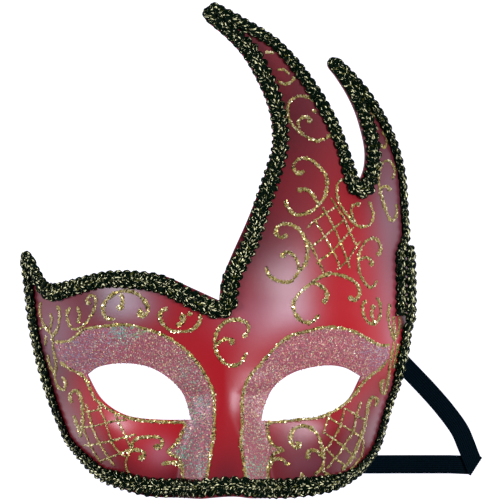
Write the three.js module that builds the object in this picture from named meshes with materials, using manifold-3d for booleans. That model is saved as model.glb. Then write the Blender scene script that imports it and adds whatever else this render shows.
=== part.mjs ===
// A carnival half mask that lies face up on a table: a thin moulded shell with a flame-shaped crest and a
// second horn, a gimp braid glued round its whole edge, and a flat elastic strap fixed inside both temples.
// Millimetres. Seen from above, X runs to the right and Y to the top. Z points out of the face, and the
// temples stand on Z = 0.
import * as THREE from 'three';
import { mergeVertices } from 'three/addons/utils/BufferGeometryUtils.js';
import Module from 'manifold-3d';

const wasm = await Module();
wasm.setup();

// Face: the middle line of the nose, the line through both eyes, and the forehead's height over the table.
const FACE_AXIS_X = 2.8;
const EYE_LINE_Y = -61.3;
const FOREHEAD_HEIGHT = 52;
const SHELL_THICKNESS = 1.4;

// Half width of the shell where it meets the table, by height above the eye line.
// The right side is wider from 8 to 18, which lifts the rim there and lets the strap out.
const LEFT_SIDE = [
  { up: -52, out: 60.0 },
  { up: -36, out: 64.6 },
  { up: -19, out: 69.3 },
  { up: -5, out: 75.1 },
  { up: 8, out: 79.6 },
  { up: 27, out: 83.8 },
  { up: 44, out: 86.0 },
  { up: 60, out: 87.5 },
];
const RIGHT_SIDE = [
  { up: -52, out: 60.0 },
  { up: -26, out: 66.5 },
  { up: -14, out: 69.0 },
  { up: 1, out: 74.1 },
  { up: 8, out: 79.0 },
  { up: 13, out: 80.6 },
  { up: 18, out: 80.8 },
  { up: 24, out: 79.6 },
  { up: 40, out: 79.7 },
  { up: 58, out: 79.4 },
  { up: 83, out: 77.9 },
  { up: 110, out: 76.7 },
];
// How far past the rim the ellipse of each side would go on: less makes a steeper temple.
const LEFT_FLARE = 1.12;
const RIGHT_FLARE = 1.07;

// The crest leans back above the brow, and the cheeks draw back below the eyes.
const CREST_LEAN = { from: 40, over: 119, share: 0.72 };
const CHEEK_LEAN = { from: 12, over: 45, share: 0.05 };
// Below the eyes the section grows squarer: flatter over the cheeks and steeper at the temples.
const CHEEK_SQUARE = { from: 11, over: 26.5, power: 1.2 };

// The nose grows from the brow down: height, half width of its foot and half width of its flat top, which
// widens over the middle of its length.
const NOSE = { top: 34, length: 78, rise: 17, power: 1.5, foot: 11, footGrowth: 14 };
const NOSE_RIDGE = { width: 1.5, growth: 6.5, from: 0.4, over: 0.35 };
// Soft swellings and hollows that both halves of the face have: across is measured from the nose.
const SOCKET = { across: 38, up: 0, wide: 27, tall: 16, rise: -3 };
const CHEEK = { across: 55, up: -19, wide: 18, tall: 14, rise: 2.6 };
const BROW = { across: 38, up: 31, droop: 0.01, tall: 13, rise: 0.9 };
// The swellings fade out towards the rim, over this share of the forehead's height.
const RELIEF_FADE = 0.4;

// The rim, clockwise from the right temple: each edge is a smooth curve through its knots.
const RIM = [
  {
    edge: 'right temple',
    knots: [
      { x: 81.4, y: 10 }, { x: 82.3, y: -3.5 }, { x: 82.5, y: -22 }, { x: 82, y: -38.5 }, { x: 80.3, y: -47.5 },
      { x: 76.9, y: -60.2 }, { x: 71.9, y: -75.3 }, { x: 67.7, y: -86.8 }, { x: 60.3, y: -96.3 },
    ],
  },
  {
    edge: 'lower edge',
    knots: [
      { x: 60.3, y: -96.3 }, { x: 52, y: -101.4 }, { x: 42, y: -104.1 }, { x: 27.5, y: -105.5 }, { x: 16.5, y: -104.9 },
      { x: 6, y: -103.8 }, { x: -11, y: -105 }, { x: -26.5, y: -105.1 }, { x: -37.2, y: -103.1 },
      { x: -49.6, y: -98.7 }, { x: -57.8, y: -91.2 },
    ],
  },
  {
    edge: 'left temple and tip',
    knots: [
      { x: -57.8, y: -91.2 }, { x: -66.4, y: -80.6 }, { x: -72.4, y: -66.9 }, { x: -77.2, y: -53.9 }, { x: -81.2, y: -34.7 },
      { x: -83.6, y: -17.6 }, { x: -85, y: -9.5 }, { x: -84.7, y: -5.2 }, { x: -82.7, y: -3.2 }, { x: -80.5, y: -4 },
    ],
  },
  {
    edge: 'brow',
    knots: [
      { x: -80.5, y: -4 }, { x: -78, y: -10 }, { x: -74, y: -14.5 }, { x: -69.5, y: -15.5 }, { x: -62, y: -13.5 },
      { x: -48.5, y: -10 }, { x: -35.5, y: -9.5 }, { x: -22.9, y: -11.1 }, { x: -11.8, y: -15.9 }, { x: 0.5, y: -21.5 },
    ],
  },
  {
    edge: 'crest, inner side',
    knots: [
      { x: 0.5, y: -21.5 }, { x: 1.5, y: -13.5 }, { x: 5.5, y: -3 }, { x: 13, y: 14 }, { x: 20.5, y: 34 },
      { x: 23.5, y: 46.5 }, { x: 21.1, y: 62.6 }, { x: 12.7, y: 80.1 }, { x: 4.5, y: 90 }, { x: -5, y: 98 },
    ],
  },
  {
    edge: 'crest tip',
    knots: [{ x: -5, y: 98 }, { x: -6.7, y: 101.3 }, { x: -4.8, y: 104.4 }, { x: -1.3, y: 106 }],
  },
  {
    edge: 'crest, outer side',
    knots: [
      { x: -1.3, y: 106 }, { x: 9.9, y: 100 }, { x: 25.8, y: 89.9 }, { x: 38.6, y: 75.4 }, { x: 49.9, y: 58 },
      { x: 55.8, y: 41.9 }, { x: 60.5, y: 29 },
    ],
  },
  {
    edge: 'second horn, inner side',
    knots: [
      { x: 60.5, y: 29 }, { x: 63, y: 36 }, { x: 63, y: 45 }, { x: 59.5, y: 58 }, { x: 55, y: 67.5 },
      { x: 50, y: 75.2 },
    ],
  },
  {
    edge: 'second horn tip',
    knots: [{ x: 50, y: 75.2 }, { x: 47, y: 79.2 }, { x: 48, y: 82 }, { x: 51.2, y: 82.3 }],
  },
  {
    edge: 'second horn, outer side',
    knots: [
      { x: 51.2, y: 82.3 }, { x: 59.9, y: 73.8 }, { x: 67.6, y: 63.7 }, { x: 74.3, y: 51 }, { x: 78.8, y: 36.3 },
      { x: 80.8, y: 21.6 }, { x: 81.4, y: 10 },
    ],
  },
];

// The eye holes: the upper lid from corner to corner, then the lower lid back.
const LEFT_EYE = [
  {
    edge: 'upper lid',
    knots: [
      { x: -56.5, y: -53.5 }, { x: -50.5, y: -50 }, { x: -40, y: -48.5 }, { x: -29.5, y: -50 }, { x: -20.5, y: -55 },
      { x: -14.5, y: -62 }, { x: -11.5, y: -72 },
    ],
  },
  {
    edge: 'lower lid',
    knots: [
      { x: -11.5, y: -72 }, { x: -24.5, y: -72 }, { x: -36, y: -71 }, { x: -44, y: -68 }, { x: -51, y: -62.5 },
      { x: -56.5, y: -53.5 },
    ],
  },
];
const RIGHT_EYE = [
  {
    edge: 'upper lid',
    knots: [
      { x: 18.5, y: -72.5 }, { x: 20, y: -65.5 }, { x: 24.5, y: -57.5 }, { x: 33, y: -52 }, { x: 45, y: -49.5 },
      { x: 54, y: -50.5 }, { x: 61.5, y: -54.5 },
    ],
  },
  {
    edge: 'lower lid',
    knots: [
      { x: 61.5, y: -54.5 }, { x: 57, y: -62.5 }, { x: 50.5, y: -68.5 }, { x: 41, y: -71.5 }, { x: 30.5, y: -72.5 },
      { x: 18.5, y: -72.5 },
    ],
  },
];
const CURVE_STEPS = 3;
const CUT_HEIGHT = 90;
const SLOPE_STEP = 0.05;
const WELD = 1e-4;

// Lines of the shell's mesh: closer over the steep temples and the nose.
const COLUMN_START = -90;
const COLUMN_ZONES = [
  { to: -64, step: 2.6 },
  { to: -20, step: 5 },
  { to: 25.5, step: 3 },
  { to: 64, step: 5 },
  { to: 88, step: 2.6 },
];
const ROW_START = -110;
const ROW_ZONES = [{ to: 110, step: 5 }];

// Braid: one length round the rim. Its start lies on top of its end for the length of the lap.
const BRAID = { width: 8.8, crown: 1.8, edge: 0.9, flatShare: 0.25, overhang: 0.4 };
const BRAID_LAP = { start: 8.5, length: 30, settle: 9, tuck: 1.3 };
const BRAID_STEP = 5;
const BRAID_TURN = THREE.MathUtils.degToRad(22);
const BRAID_ROLL = THREE.MathUtils.degToRad(12);
const BRAID_FLOOR = 0.6;
// Marks along the rim that the braid's rings are picked from, and how many either side count as near.
const MARK_SPACING = 0.5;
const MARK_REACH = 2;
const MARKS_NEAR = 6;
// Step of the walk inward over the shell, half the gap where two runs meet in a tip, and gap to the shell.
const WALK_STEP = 0.1;
const SEAM = 0.25;
const FIT = 0.4;

// Strap: flat elastic. The ends are glued inside the temples, the rest lies on the table.
const STRAP = { width: 8, thickness: 1, floor: 0.55, wallFit: 0.5, stepsPerPlace: 2 };
// Where the strap is glued, as places on the shell in front of it.
const STRAP_RIGHT_END = [
  { x: 71.5, y: -19 },
  { x: 72.5, y: -25.5 },
  { x: 73.5, y: -32 },
];
const STRAP_LEFT_END = [
  { x: -75, y: -36 },
  { x: -74.5, y: -29 },
  { x: -73.5, y: -22 },
];
// The strap hangs free from where it is glued down to the table.
const STRAP_RIGHT_DROP = [
  { x: 70.3, y: -38.5, z: 8 },
  { x: 73, y: -43.2, z: 2.5 },
];
const STRAP_LEFT_DROP = [
  { x: -66, y: -51, z: 1.2 },
  { x: -69, y: -44, z: 4 },
];
// The middle of the strap on the table, out of the right temple to the fold and back under the mask.
const STRAP_OUT = [
  { x: 77.2, y: -47 },
  { x: 80.7, y: -50.5 },
  { x: 86, y: -56 },
  { x: 90.9, y: -61.2 },
  { x: 97.6, y: -68.9 },
  { x: 103.9, y: -77.5 },
  { x: 106.9, y: -84.2 },
];
const STRAP_FOLD = { x: 110.6, y: -93.3, dx: -0.54, dy: -0.842, line: 9.4, overlap: 1.35, steps: 4 };
const STRAP_BACK = [
  { x: 100, y: -92.9 },
  { x: 80, y: -92.9 },
  { x: 60, y: -92.9 },
  { x: 30, y: -92.4 },
  { x: 5, y: -91.5 },
  { x: -12, y: -89.4 },
  { x: -34, y: -84.3 },
  { x: -51, y: -75.8 },
  { x: -59, y: -67 },
  { x: -63.5, y: -58.5 },
];

const RED_PLASTIC = new THREE.MeshStandardMaterial({ color: 0xb92530, roughness: 0.3, metalness: 0 });
const BLACK_GOLD_BRAID = new THREE.MeshStandardMaterial({ color: 0x2a2c20, roughness: 0.6, metalness: 0.2 });
const BLACK_ELASTIC = new THREE.MeshStandardMaterial({ color: 0x060d10, roughness: 0.8, metalness: 0 });

// Smooth step from 0 to 1.
function ease(t) {
  return THREE.MathUtils.smoothstep(t, 0, 1);
}

// Value of a side table at a height above the eye line, on a smooth curve through its rows.
function sideWidth(rows, up) {
  const last = rows.length - 1;
  const at = THREE.MathUtils.clamp(up, rows[0].up, rows[last].up);
  let i = 0;
  while (i < last - 1 && at > rows[i + 1].up) i += 1;
  const slope = (k) => {
    const a = rows[Math.max(k - 1, 0)];
    const b = rows[Math.min(k + 1, last)];
    return (b.out - a.out) / (b.up - a.up);
  };
  const span = rows[i + 1].up - rows[i].up;
  const t = (at - rows[i].up) / span;
  const bend0 = (t ** 3 - 2 * t ** 2 + t) * span * slope(i);
  const bend1 = (t ** 3 - t ** 2) * span * slope(i + 1);
  return rows[i].out + (rows[i + 1].out - rows[i].out) * ease(t) + bend0 + bend1;
}

// A soft round swelling of the face.
function swelling(form, across, up) {
  return form.rise * Math.exp(-(((across - form.across) / form.wide) ** 2) - ((up - form.up) / form.tall) ** 2);
}

// Height of the shell's outer face over the table.
function shellHeight(x, y) {
  const side = x - FACE_AXIS_X;
  const across = Math.abs(side);
  const up = y - EYE_LINE_Y;
  const rows = side < 0 ? LEFT_SIDE : RIGHT_SIDE;
  const flare = side < 0 ? LEFT_FLARE : RIGHT_FLARE;
  const out = across / sideWidth(rows, up);
  const cut = Math.sqrt(1 - 1 / flare ** 2);
  const square = 1 + 0.5 * CHEEK_SQUARE.power * ease((CHEEK_SQUARE.from - up) / CHEEK_SQUARE.over);
  const arch = out < 1
    ? (Math.sqrt(1 - (out ** square / flare) ** 2) - cut) / (1 - cut)
    : ((1 - out) * square) / (flare ** 2 * cut * (1 - cut));
  const lean = 1 - CREST_LEAN.share * ease((up - CREST_LEAN.from) / CREST_LEAN.over)
    - CHEEK_LEAN.share * ease((-CHEEK_LEAN.from - up) / CHEEK_LEAN.over);

  const down = THREE.MathUtils.clamp((NOSE.top - up) / NOSE.length, 0, 1);
  const ridge = NOSE_RIDGE.width + NOSE_RIDGE.growth * ease((down - NOSE_RIDGE.from) / NOSE_RIDGE.over);
  const foot = NOSE.foot + NOSE.footGrowth * down;
  const nose = NOSE.rise * down ** NOSE.power * (1 - ease((across - ridge) / (foot - ridge)));

  const inside = ease(arch / RELIEF_FADE);
  const browLine = BROW.up - BROW.droop * (across - BROW.across) ** 2;
  const brow = BROW.rise * Math.exp(-(((up - browLine) / BROW.tall) ** 2));
  const soft = swelling(SOCKET, across, up) + swelling(CHEEK, across, up) + brow;
  return FOREHEAD_HEIGHT * arch * lean + nose + soft * inside;
}

// Unit normal of the shell's outer face.
function shellNormal(x, y) {
  const d = SLOPE_STEP;
  const slopeX = (shellHeight(x + d, y) - shellHeight(x - d, y)) / (2 * d);
  const slopeY = (shellHeight(x, y + d) - shellHeight(x, y - d)) / (2 * d);
  return new THREE.Vector3(-slopeX, -slopeY, 1).normalize();
}

// Place at a distance from the shell's outer face, along its normal.
function overShell(x, y, distance) {
  return new THREE.Vector3(x, y, shellHeight(x, y)).addScaledVector(shellNormal(x, y), distance);
}

// Closed flat shape from a list of edges.
function edgeShape(edges) {
  const shape = new THREE.Shape();
  const first = edges[0].knots[0];
  shape.moveTo(first.x, first.y);
  for (const { knots } of edges) {
    shape.splineThru(knots.slice(1).map(({ x, y }) => new THREE.Vector2(x, y)));
  }
  return shape;
}

// Solid for a boolean, from a closed geometry.
function toSolid(geometry) {
  const bare = geometry.clone();
  bare.deleteAttribute('normal');
  bare.deleteAttribute('uv');
  const merged = mergeVertices(bare, WELD);
  return new wasm.Manifold(new wasm.Mesh({
    numProp: 3,
    vertProperties: new Float32Array(merged.attributes.position.array),
    triVerts: new Uint32Array(merged.index.array),
  }));
}

// Geometry from a solid.
function toGeometry(solid) {
  const { vertProperties, triVerts } = solid.getMesh();
  return faceted(Array.from(vertProperties), Array.from(triVerts));
}

// Geometry from flat lists of coordinates and triangle corners.
function faceted(positions, triangles) {
  const geometry = new THREE.BufferGeometry();
  geometry.setAttribute('position', new THREE.Float32BufferAttribute(positions, 3));
  geometry.setIndex(triangles);
  geometry.computeVertexNormals();
  return geometry;
}

// Mesh lines from a start through zones of even steps.
function meshLines(start, zones) {
  const lines = [start];
  for (const { to, step } of zones) {
    const from = lines[lines.length - 1];
    const count = Math.round((to - from) / step);
    for (let i = 1; i <= count; i += 1) lines.push(from + ((to - from) * i) / count);
  }
  return lines;
}

// Closed loft through rings of points, all with the same count. Seen the way they run, rings turn left.
function loft(rings) {
  const size = rings[0].length;
  const positions = rings.flatMap((ring) => ring.flatMap((p) => p.toArray()));
  const triangles = [];
  for (let r = 0; r + 1 < rings.length; r += 1) {
    for (let i = 0; i < size; i += 1) {
      const a = r * size + i;
      const b = r * size + ((i + 1) % size);
      triangles.push(a, a + size, b, b, a + size, b + size);
    }
  }
  const end = (rings.length - 1) * size;
  for (let i = 1; i + 1 < size; i += 1) {
    triangles.push(0, i, i + 1, end, end + i + 1, end + i);
  }
  return faceted(positions, triangles);
}

// A sheet of the shell's thickness, larger than the mask on every side.
function shellSheet() {
  const columns = meshLines(COLUMN_START, COLUMN_ZONES);
  const rows = meshLines(ROW_START, ROW_ZONES);
  const wide = columns.length;
  const face = wide * rows.length;
  const positions = [];
  for (const depth of [0, -SHELL_THICKNESS]) {
    for (const y of rows) {
      for (const x of columns) positions.push(...overShell(x, y, depth).toArray());
    }
  }
  const triangles = [];
  for (let r = 0; r + 1 < rows.length; r += 1) {
    for (let c = 0; c + 1 < wide; c += 1) {
      const a = r * wide + c;
      const b = a + 1;
      const d = a + wide;
      const e = d + 1;
      triangles.push(a, b, e, a, e, d);
      triangles.push(face + a, face + e, face + b, face + a, face + d, face + e);
    }
  }
  const border = [];
  for (let c = 0; c + 1 < wide; c += 1) border.push(c);
  for (let r = 0; r + 1 < rows.length; r += 1) border.push(r * wide + wide - 1);
  for (let c = wide - 1; c > 0; c -= 1) border.push((rows.length - 1) * wide + c);
  for (let r = rows.length - 1; r > 0; r -= 1) border.push(r * wide);
  border.forEach((a, i) => {
    const b = border[(i + 1) % border.length];
    triangles.push(a, face + a, face + b, a, face + b, b);
  });
  return faceted(positions, triangles);
}

// Upright cutter of a shape, from a height up.
function cutter(shape, from) {
  const geometry = new THREE.ExtrudeGeometry(shape, {
    depth: CUT_HEIGHT,
    bevelEnabled: false,
    curveSegments: CURVE_STEPS,
  });
  geometry.translate(0, 0, from);
  return toSolid(geometry);
}

// Shell: the sheet inside the rim and above the table, less the eye holes.
function buildShell(rim) {
  const solid = toSolid(shellSheet())
    .intersect(cutter(rim, 0))
    .subtract(cutter(edgeShape(LEFT_EYE), -1))
    .subtract(cutter(edgeShape(RIGHT_EYE), -1));
  return toGeometry(solid);
}

// Even, close marks along the rim: place, way along, way inward and the way that the shell faces beside it.
function rimMarks(rim) {
  const length = rim.getLength();
  const count = Math.round(length / MARK_SPACING);
  const points = Array.from({ length: count }, (_, i) => rim.getPoint(i / count));
  const marks = points.map((point, i) => {
    const before = points[(i + count - MARK_REACH) % count];
    const after = points[(i + MARK_REACH) % count];
    const along = after.clone().sub(before).normalize();
    const inward = new THREE.Vector2(along.y, -along.x);
    const under = point.clone().addScaledVector(inward, BRAID.width / 2);
    return { point, along, inward, facing: shellNormal(under.x, under.y) };
  });
  return { marks, spacing: length / count };
}

// Room from a mark to the middle of the shell there, for the narrow tips.
function roomInward(marks, index) {
  const { point, inward } = marks[index];
  let room = Infinity;
  for (let away = MARKS_NEAR; away <= marks.length - MARKS_NEAR; away += 1) {
    const to = marks[(index + away) % marks.length].point.clone().sub(point);
    const ahead = to.dot(inward);
    if (ahead > 0) room = Math.min(room, to.lengthSq() / (2 * ahead));
  }
  return room - SEAM;
}

// One ring of the braid: a low crown across the ribbon, over the shell inside the rim.
function braidRing(mark, room, lift, tuck) {
  const at = (inset) => mark.point.clone().addScaledVector(mark.inward, inset);
  const height = (inset) => shellHeight(at(inset).x, at(inset).y);
  let inset = 0;
  while (height(inset) < BRAID_FLOOR) inset += WALK_STEP;
  const samples = [];
  for (let way = 0; way <= tuck + BRAID.width && inset <= room;) {
    samples.push({ way, inset });
    way += Math.hypot(WALK_STEP, height(inset + WALK_STEP) - height(inset));
    inset += WALK_STEP;
  }
  const insetAt = (way) => samples.find((s) => s.way >= way)?.inset ?? samples[samples.length - 1].inset;
  const edgeIn = samples[samples.length - 1].way;
  const edgeOut = Math.min(tuck, edgeIn / 2);
  const slope = samples[1].way / WALK_STEP;
  const overhang = tuck > 0 ? 0 : BRAID.overhang / slope;
  const place = (share, distance) => {
    const way = edgeOut + (edgeIn - edgeOut) * share;
    const { x, y } = at(share > 0 ? insetAt(way) : insetAt(edgeOut) - overhang);
    return overShell(x, y, distance);
  };
  const low = lift;
  const side = lift + BRAID.edge;
  const high = lift + BRAID.crown;
  return [
    place(0, low), place(0.5, low), place(1, low),
    place(1, side), place(1 - BRAID.flatShare, high), place(BRAID.flatShare, high), place(0, side),
  ];
}

// Braid: rings along the rim, one whole turn and the lap, closer together where the rim turns.
function buildBraid(rim) {
  const { marks, spacing } = rimMarks(rim);
  const first = Math.round(BRAID_LAP.start / spacing);
  const lap = Math.round(BRAID_LAP.length / spacing);
  const settle = Math.round(BRAID_LAP.settle / spacing);
  const onTop = 2 * FIT + BRAID.crown;
  const rings = [];
  let last = null;
  for (let i = 0; i <= marks.length + lap; i += 1) {
    const index = (first + i) % marks.length;
    const mark = marks[index];
    const end = i === marks.length + lap;
    const turned = last && mark.along.angleTo(last.along) > BRAID_TURN;
    const rolled = last && mark.facing.angleTo(last.facing) > BRAID_ROLL;
    if (!last || end || turned || rolled || (i - last.i) * spacing >= BRAID_STEP) {
      const lift = FIT + (onTop - FIT) * (1 - ease((i - lap) / settle));
      const tuck = BRAID_LAP.tuck * ease((i - marks.length + lap) / lap);
      rings.push(braidRing(mark, roomInward(marks, index), lift, tuck));
      last = { i, along: mark.along, facing: mark.facing };
    }
  }
  return loft(rings);
}

// One ring of the strap: a thin rectangle about a middle point.
function strapRing({ middle, across, normal }) {
  const half = across.clone().multiplyScalar(0.5);
  const rise = normal.clone().multiplyScalar(STRAP.thickness / 2);
  const right = middle.clone().add(half);
  const left = middle.clone().sub(half);
  return [
    left.clone().sub(rise), right.clone().sub(rise), right.clone().add(rise), left.clone().add(rise),
  ];
}

// Stations of the strap on a smooth curve through places, square to the way it runs.
function strapStations(places) {
  const curve = new THREE.CatmullRomCurve3(places.map(({ middle }) => middle));
  const spans = places.length - 1;
  const count = spans * STRAP.stepsPerPlace;
  return Array.from({ length: count + 1 }, (_, i) => {
    const t = i / count;
    const at = Math.min(Math.floor(t * spans), spans - 1);
    const facing = places[at].normal.clone().lerp(places[at + 1].normal, t * spans - at);
    const middle = curve.getPoint(t);
    middle.z = Math.max(middle.z, STRAP.floor);
    const along = curve.getTangent(t);
    const across = along.clone().cross(facing).setLength(STRAP.width);
    return { middle, across, normal: across.clone().cross(along).normalize() };
  });
}

// Places on the inside of the shell, with the strap's face against it.
function wallPlaces(rows) {
  const depth = -(SHELL_THICKNESS + STRAP.wallFit + STRAP.thickness / 2);
  return rows.map(({ x, y }) => ({ middle: overShell(x, y, depth), normal: shellNormal(x, y) }));
}

// Places clear of the shell, with the strap's face up.
function freePlaces(rows) {
  const up = new THREE.Vector3(0, 0, 1);
  return rows.map(({ x, y, z = STRAP.floor }) => ({ middle: new THREE.Vector3(x, y, z), normal: up.clone() }));
}

// Stations round the fold: the strap turns over about the fold line and goes back under itself.
function foldStations() {
  const line = new THREE.Vector3(STRAP_FOLD.dx, STRAP_FOLD.dy, 0).setLength(STRAP_FOLD.line);
  const out = new THREE.Vector3(-STRAP_FOLD.dy, STRAP_FOLD.dx, 0).normalize();
  const up = new THREE.Vector3(0, 0, 1);
  const radius = STRAP_FOLD.overlap / 2;
  const centre = new THREE.Vector3(STRAP_FOLD.x, STRAP_FOLD.y, STRAP.floor + radius);
  return Array.from({ length: STRAP_FOLD.steps + 1 }, (_, i) => {
    const turn = (Math.PI * i) / STRAP_FOLD.steps;
    const normal = up.clone().multiplyScalar(Math.cos(turn)).addScaledVector(out, Math.sin(turn));
    return { middle: centre.clone().addScaledVector(normal, radius), across: line.clone(), normal };
  });
}

// Strap: from the right temple out to the fold, where it lies on itself, then under the mask to the left temple.
function buildStrap() {
  const climb = (i) => STRAP.floor + STRAP_FOLD.overlap * ease((2 * i) / (STRAP_OUT.length - 1) - 1);
  const out = STRAP_OUT.map(({ x, y }, i) => ({ x, y, z: climb(i) }));
  const outward = [...wallPlaces(STRAP_RIGHT_END), ...freePlaces(STRAP_RIGHT_DROP), ...freePlaces(out)];
  const inward = [...freePlaces(STRAP_BACK), ...freePlaces(STRAP_LEFT_DROP), ...wallPlaces(STRAP_LEFT_END)];
  inward.forEach(({ normal }) => normal.negate());
  return loft([...strapStations(outward), ...foldStations(), ...strapStations(inward)].map(strapRing));
}

// Named mesh of one piece.
function piece(name, geometry, material) {
  const mesh = new THREE.Mesh(geometry, material);
  mesh.name = name;
  return mesh;
}

const rim = edgeShape(RIM);
const mask = new THREE.Group();
mask.add(piece('mask_shell', buildShell(rim), RED_PLASTIC));
mask.add(piece('edge_braid', buildBraid(rim), BLACK_GOLD_BRAID));
mask.add(piece('elastic_strap', buildStrap(), BLACK_ELASTIC));

export default mask;
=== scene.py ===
"""A carnival half mask that lies face up: red lacquered shell, gold glitter scrolls, glitter round the eyes,
gimp braid round the edge and a flat elastic strap.

Sizes are millimetres in the part's own frame, and become metres where a mesh is made.
"""

import logging
import math
from dataclasses import dataclass, field
from enum import Enum
from typing import Any, Iterable, Sequence

import bmesh
import bpy
import numpy as np
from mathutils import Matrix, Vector
from mathutils.geometry import delaunay_2d_cdt


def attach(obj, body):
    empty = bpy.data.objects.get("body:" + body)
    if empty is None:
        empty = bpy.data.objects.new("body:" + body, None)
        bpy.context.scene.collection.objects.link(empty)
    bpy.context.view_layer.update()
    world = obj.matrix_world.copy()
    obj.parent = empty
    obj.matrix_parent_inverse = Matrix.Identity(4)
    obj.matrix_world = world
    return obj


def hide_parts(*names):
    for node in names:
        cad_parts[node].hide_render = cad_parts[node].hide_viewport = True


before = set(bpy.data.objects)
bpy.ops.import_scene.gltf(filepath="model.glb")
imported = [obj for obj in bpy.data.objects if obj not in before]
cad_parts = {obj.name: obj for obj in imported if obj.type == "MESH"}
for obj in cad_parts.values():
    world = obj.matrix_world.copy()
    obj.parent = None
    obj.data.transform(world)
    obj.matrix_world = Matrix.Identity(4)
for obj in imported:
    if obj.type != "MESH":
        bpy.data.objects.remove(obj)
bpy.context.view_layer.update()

LOG = logging.getLogger("mask")
MM = 0.001
BODY = "root"
SEED = 417
# least length that still counts, and how many points are measured at once
TINY = 1e-9
BATCH = 2000

Points = Sequence[Sequence[float]]


class Slot(Enum):
    """The record's material slots."""

    SHELL = "red_plastic"
    BRAID = "gimp_braid"
    STRAP = "black_elastic"


def linear(colour: str) -> tuple[float, float, float, float]:
    """Turns an sRGB hex colour into a linear one.

    Args:
        colour: six hex digits.

    Returns:
        Linear red, green, blue and an alpha of 1.
    """
    parts = [int(colour[i:i + 2], 16) / 255 for i in (0, 2, 4)]
    red, green, blue = (p / 12.92 if p <= 0.04045 else ((p + 0.055) / 1.055) ** 2.4 for p in parts)
    return red, green, blue, 1.0


def add_node(tree: bpy.types.NodeTree, kind: str, links: dict[Any, Any] | None = None,
             **settings: Any) -> bpy.types.Node:
    """Adds a node with its settings and what goes into its sockets.

    Args:
        tree: the material's node tree.
        kind: the node's type name.
        links: socket name or number to a socket that is linked to it, or to a plain value.
        settings: the node's own properties.

    Returns:
        The new node.
    """
    node = tree.nodes.new(kind)
    for name, value in settings.items():
        setattr(node, name, value)
    for key, value in (links or {}).items():
        if isinstance(value, bpy.types.NodeSocket):
            tree.links.new(value, node.inputs[key])
        else:
            node.inputs[key].default_value = value
    return node


def new_material(name: str) -> tuple[bpy.types.Material, bpy.types.NodeTree, bpy.types.Node]:
    """Starts a material.

    Args:
        name: what the real material is.

    Returns:
        The material, its node tree and its shader.
    """
    material = bpy.data.materials.new(name)
    material.use_nodes = True
    tree = material.node_tree
    return material, tree, tree.nodes["Principled BSDF"]


def ease(t: np.ndarray) -> np.ndarray:
    """Smooth step from 0 to 1."""
    t = np.clip(t, 0, 1)
    return t * t * (3 - 2 * t)


def smooth_line(knots: Points, steps: int = 12) -> np.ndarray:
    """Curve through knots.

    Args:
        knots: points in two or three dimensions.
        steps: points made for each stretch between two knots.

    Returns:
        The curve's points, both ends included.
    """
    p = np.asarray(knots, float)
    before = np.vstack([p[:1], p[:-2]])
    after = np.vstack([p[2:], p[-1:]])
    tangent0 = (p[1:] - before) / 2
    tangent1 = (after - p[:-1]) / 2
    t = np.linspace(0, 1, steps, endpoint=False)[None, :, None]
    a, b = p[:-1, None, :], p[1:, None, :]
    curve = (a * (2 * t ** 3 - 3 * t ** 2 + 1) + b * (3 * t ** 2 - 2 * t ** 3)
             + tangent0[:, None, :] * (t ** 3 - 2 * t ** 2 + t) + tangent1[:, None, :] * (t ** 3 - t ** 2))
    return np.vstack([curve.reshape(-1, p.shape[1]), p[-1:]])


def way_along(line: np.ndarray) -> np.ndarray:
    """Distance from the line's start to each of its points."""
    return np.concatenate([[0.0], np.cumsum(np.linalg.norm(np.diff(line, axis=0), axis=1))])


def at_ways(line: np.ndarray, ways: np.ndarray, along: np.ndarray | None = None) -> np.ndarray:
    """Points of a line at distances from its start."""
    along = way_along(line) if along is None else along
    return np.stack([np.interp(ways, along, column) for column in line.T], axis=1)


def even_line(line: np.ndarray, spacing: float) -> np.ndarray:
    """The same line with evenly spaced points."""
    length = way_along(line)[-1]
    return at_ways(line, np.linspace(0, length, max(2, round(length / spacing) + 1)))


def inside(points: np.ndarray, polygon: np.ndarray) -> np.ndarray:
    """Says which points lie in a polygon.

    Args:
        points: places in the plane.
        polygon: the polygon's corners in order.

    Returns:
        True for each point inside.
    """
    x, y = points.T
    result = np.zeros(len(points), bool)
    for (x0, y0), (x1, y1) in zip(polygon, np.roll(polygon, -1, axis=0)):
        crosses = (y0 > y) != (y1 > y)
        if crosses.any():
            result ^= crosses & (x < (x1 - x0) * (y - y0) / ((y1 - y0) or TINY) + x0)
    return result


def distance_to(points: np.ndarray, line: np.ndarray) -> np.ndarray:
    """Distance from each point to the nearest point of a closely spaced line."""
    chunks = [np.sqrt(((chunk[:, None, :] - line[None]) ** 2).sum(2).min(1))
              for chunk in np.array_split(points, max(1, len(points) // BATCH))]
    return np.concatenate(chunks)


def unit(vectors: np.ndarray) -> np.ndarray:
    """Vectors scaled to length 1."""
    return vectors / np.maximum(np.linalg.norm(vectors, axis=-1, keepdims=True), TINY)


@dataclass(frozen=True)
class Swelling:
    """A soft swelling or hollow that both halves of the face have."""

    across: float
    up: float
    wide: float
    tall: float
    rise: float

    def at(self, across: np.ndarray, up: np.ndarray) -> np.ndarray:
        """Height that it adds."""
        side, rise = (across - self.across) / self.wide, (up - self.up) / self.tall
        return self.rise * np.exp(-side ** 2 - rise ** 2)


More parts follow.
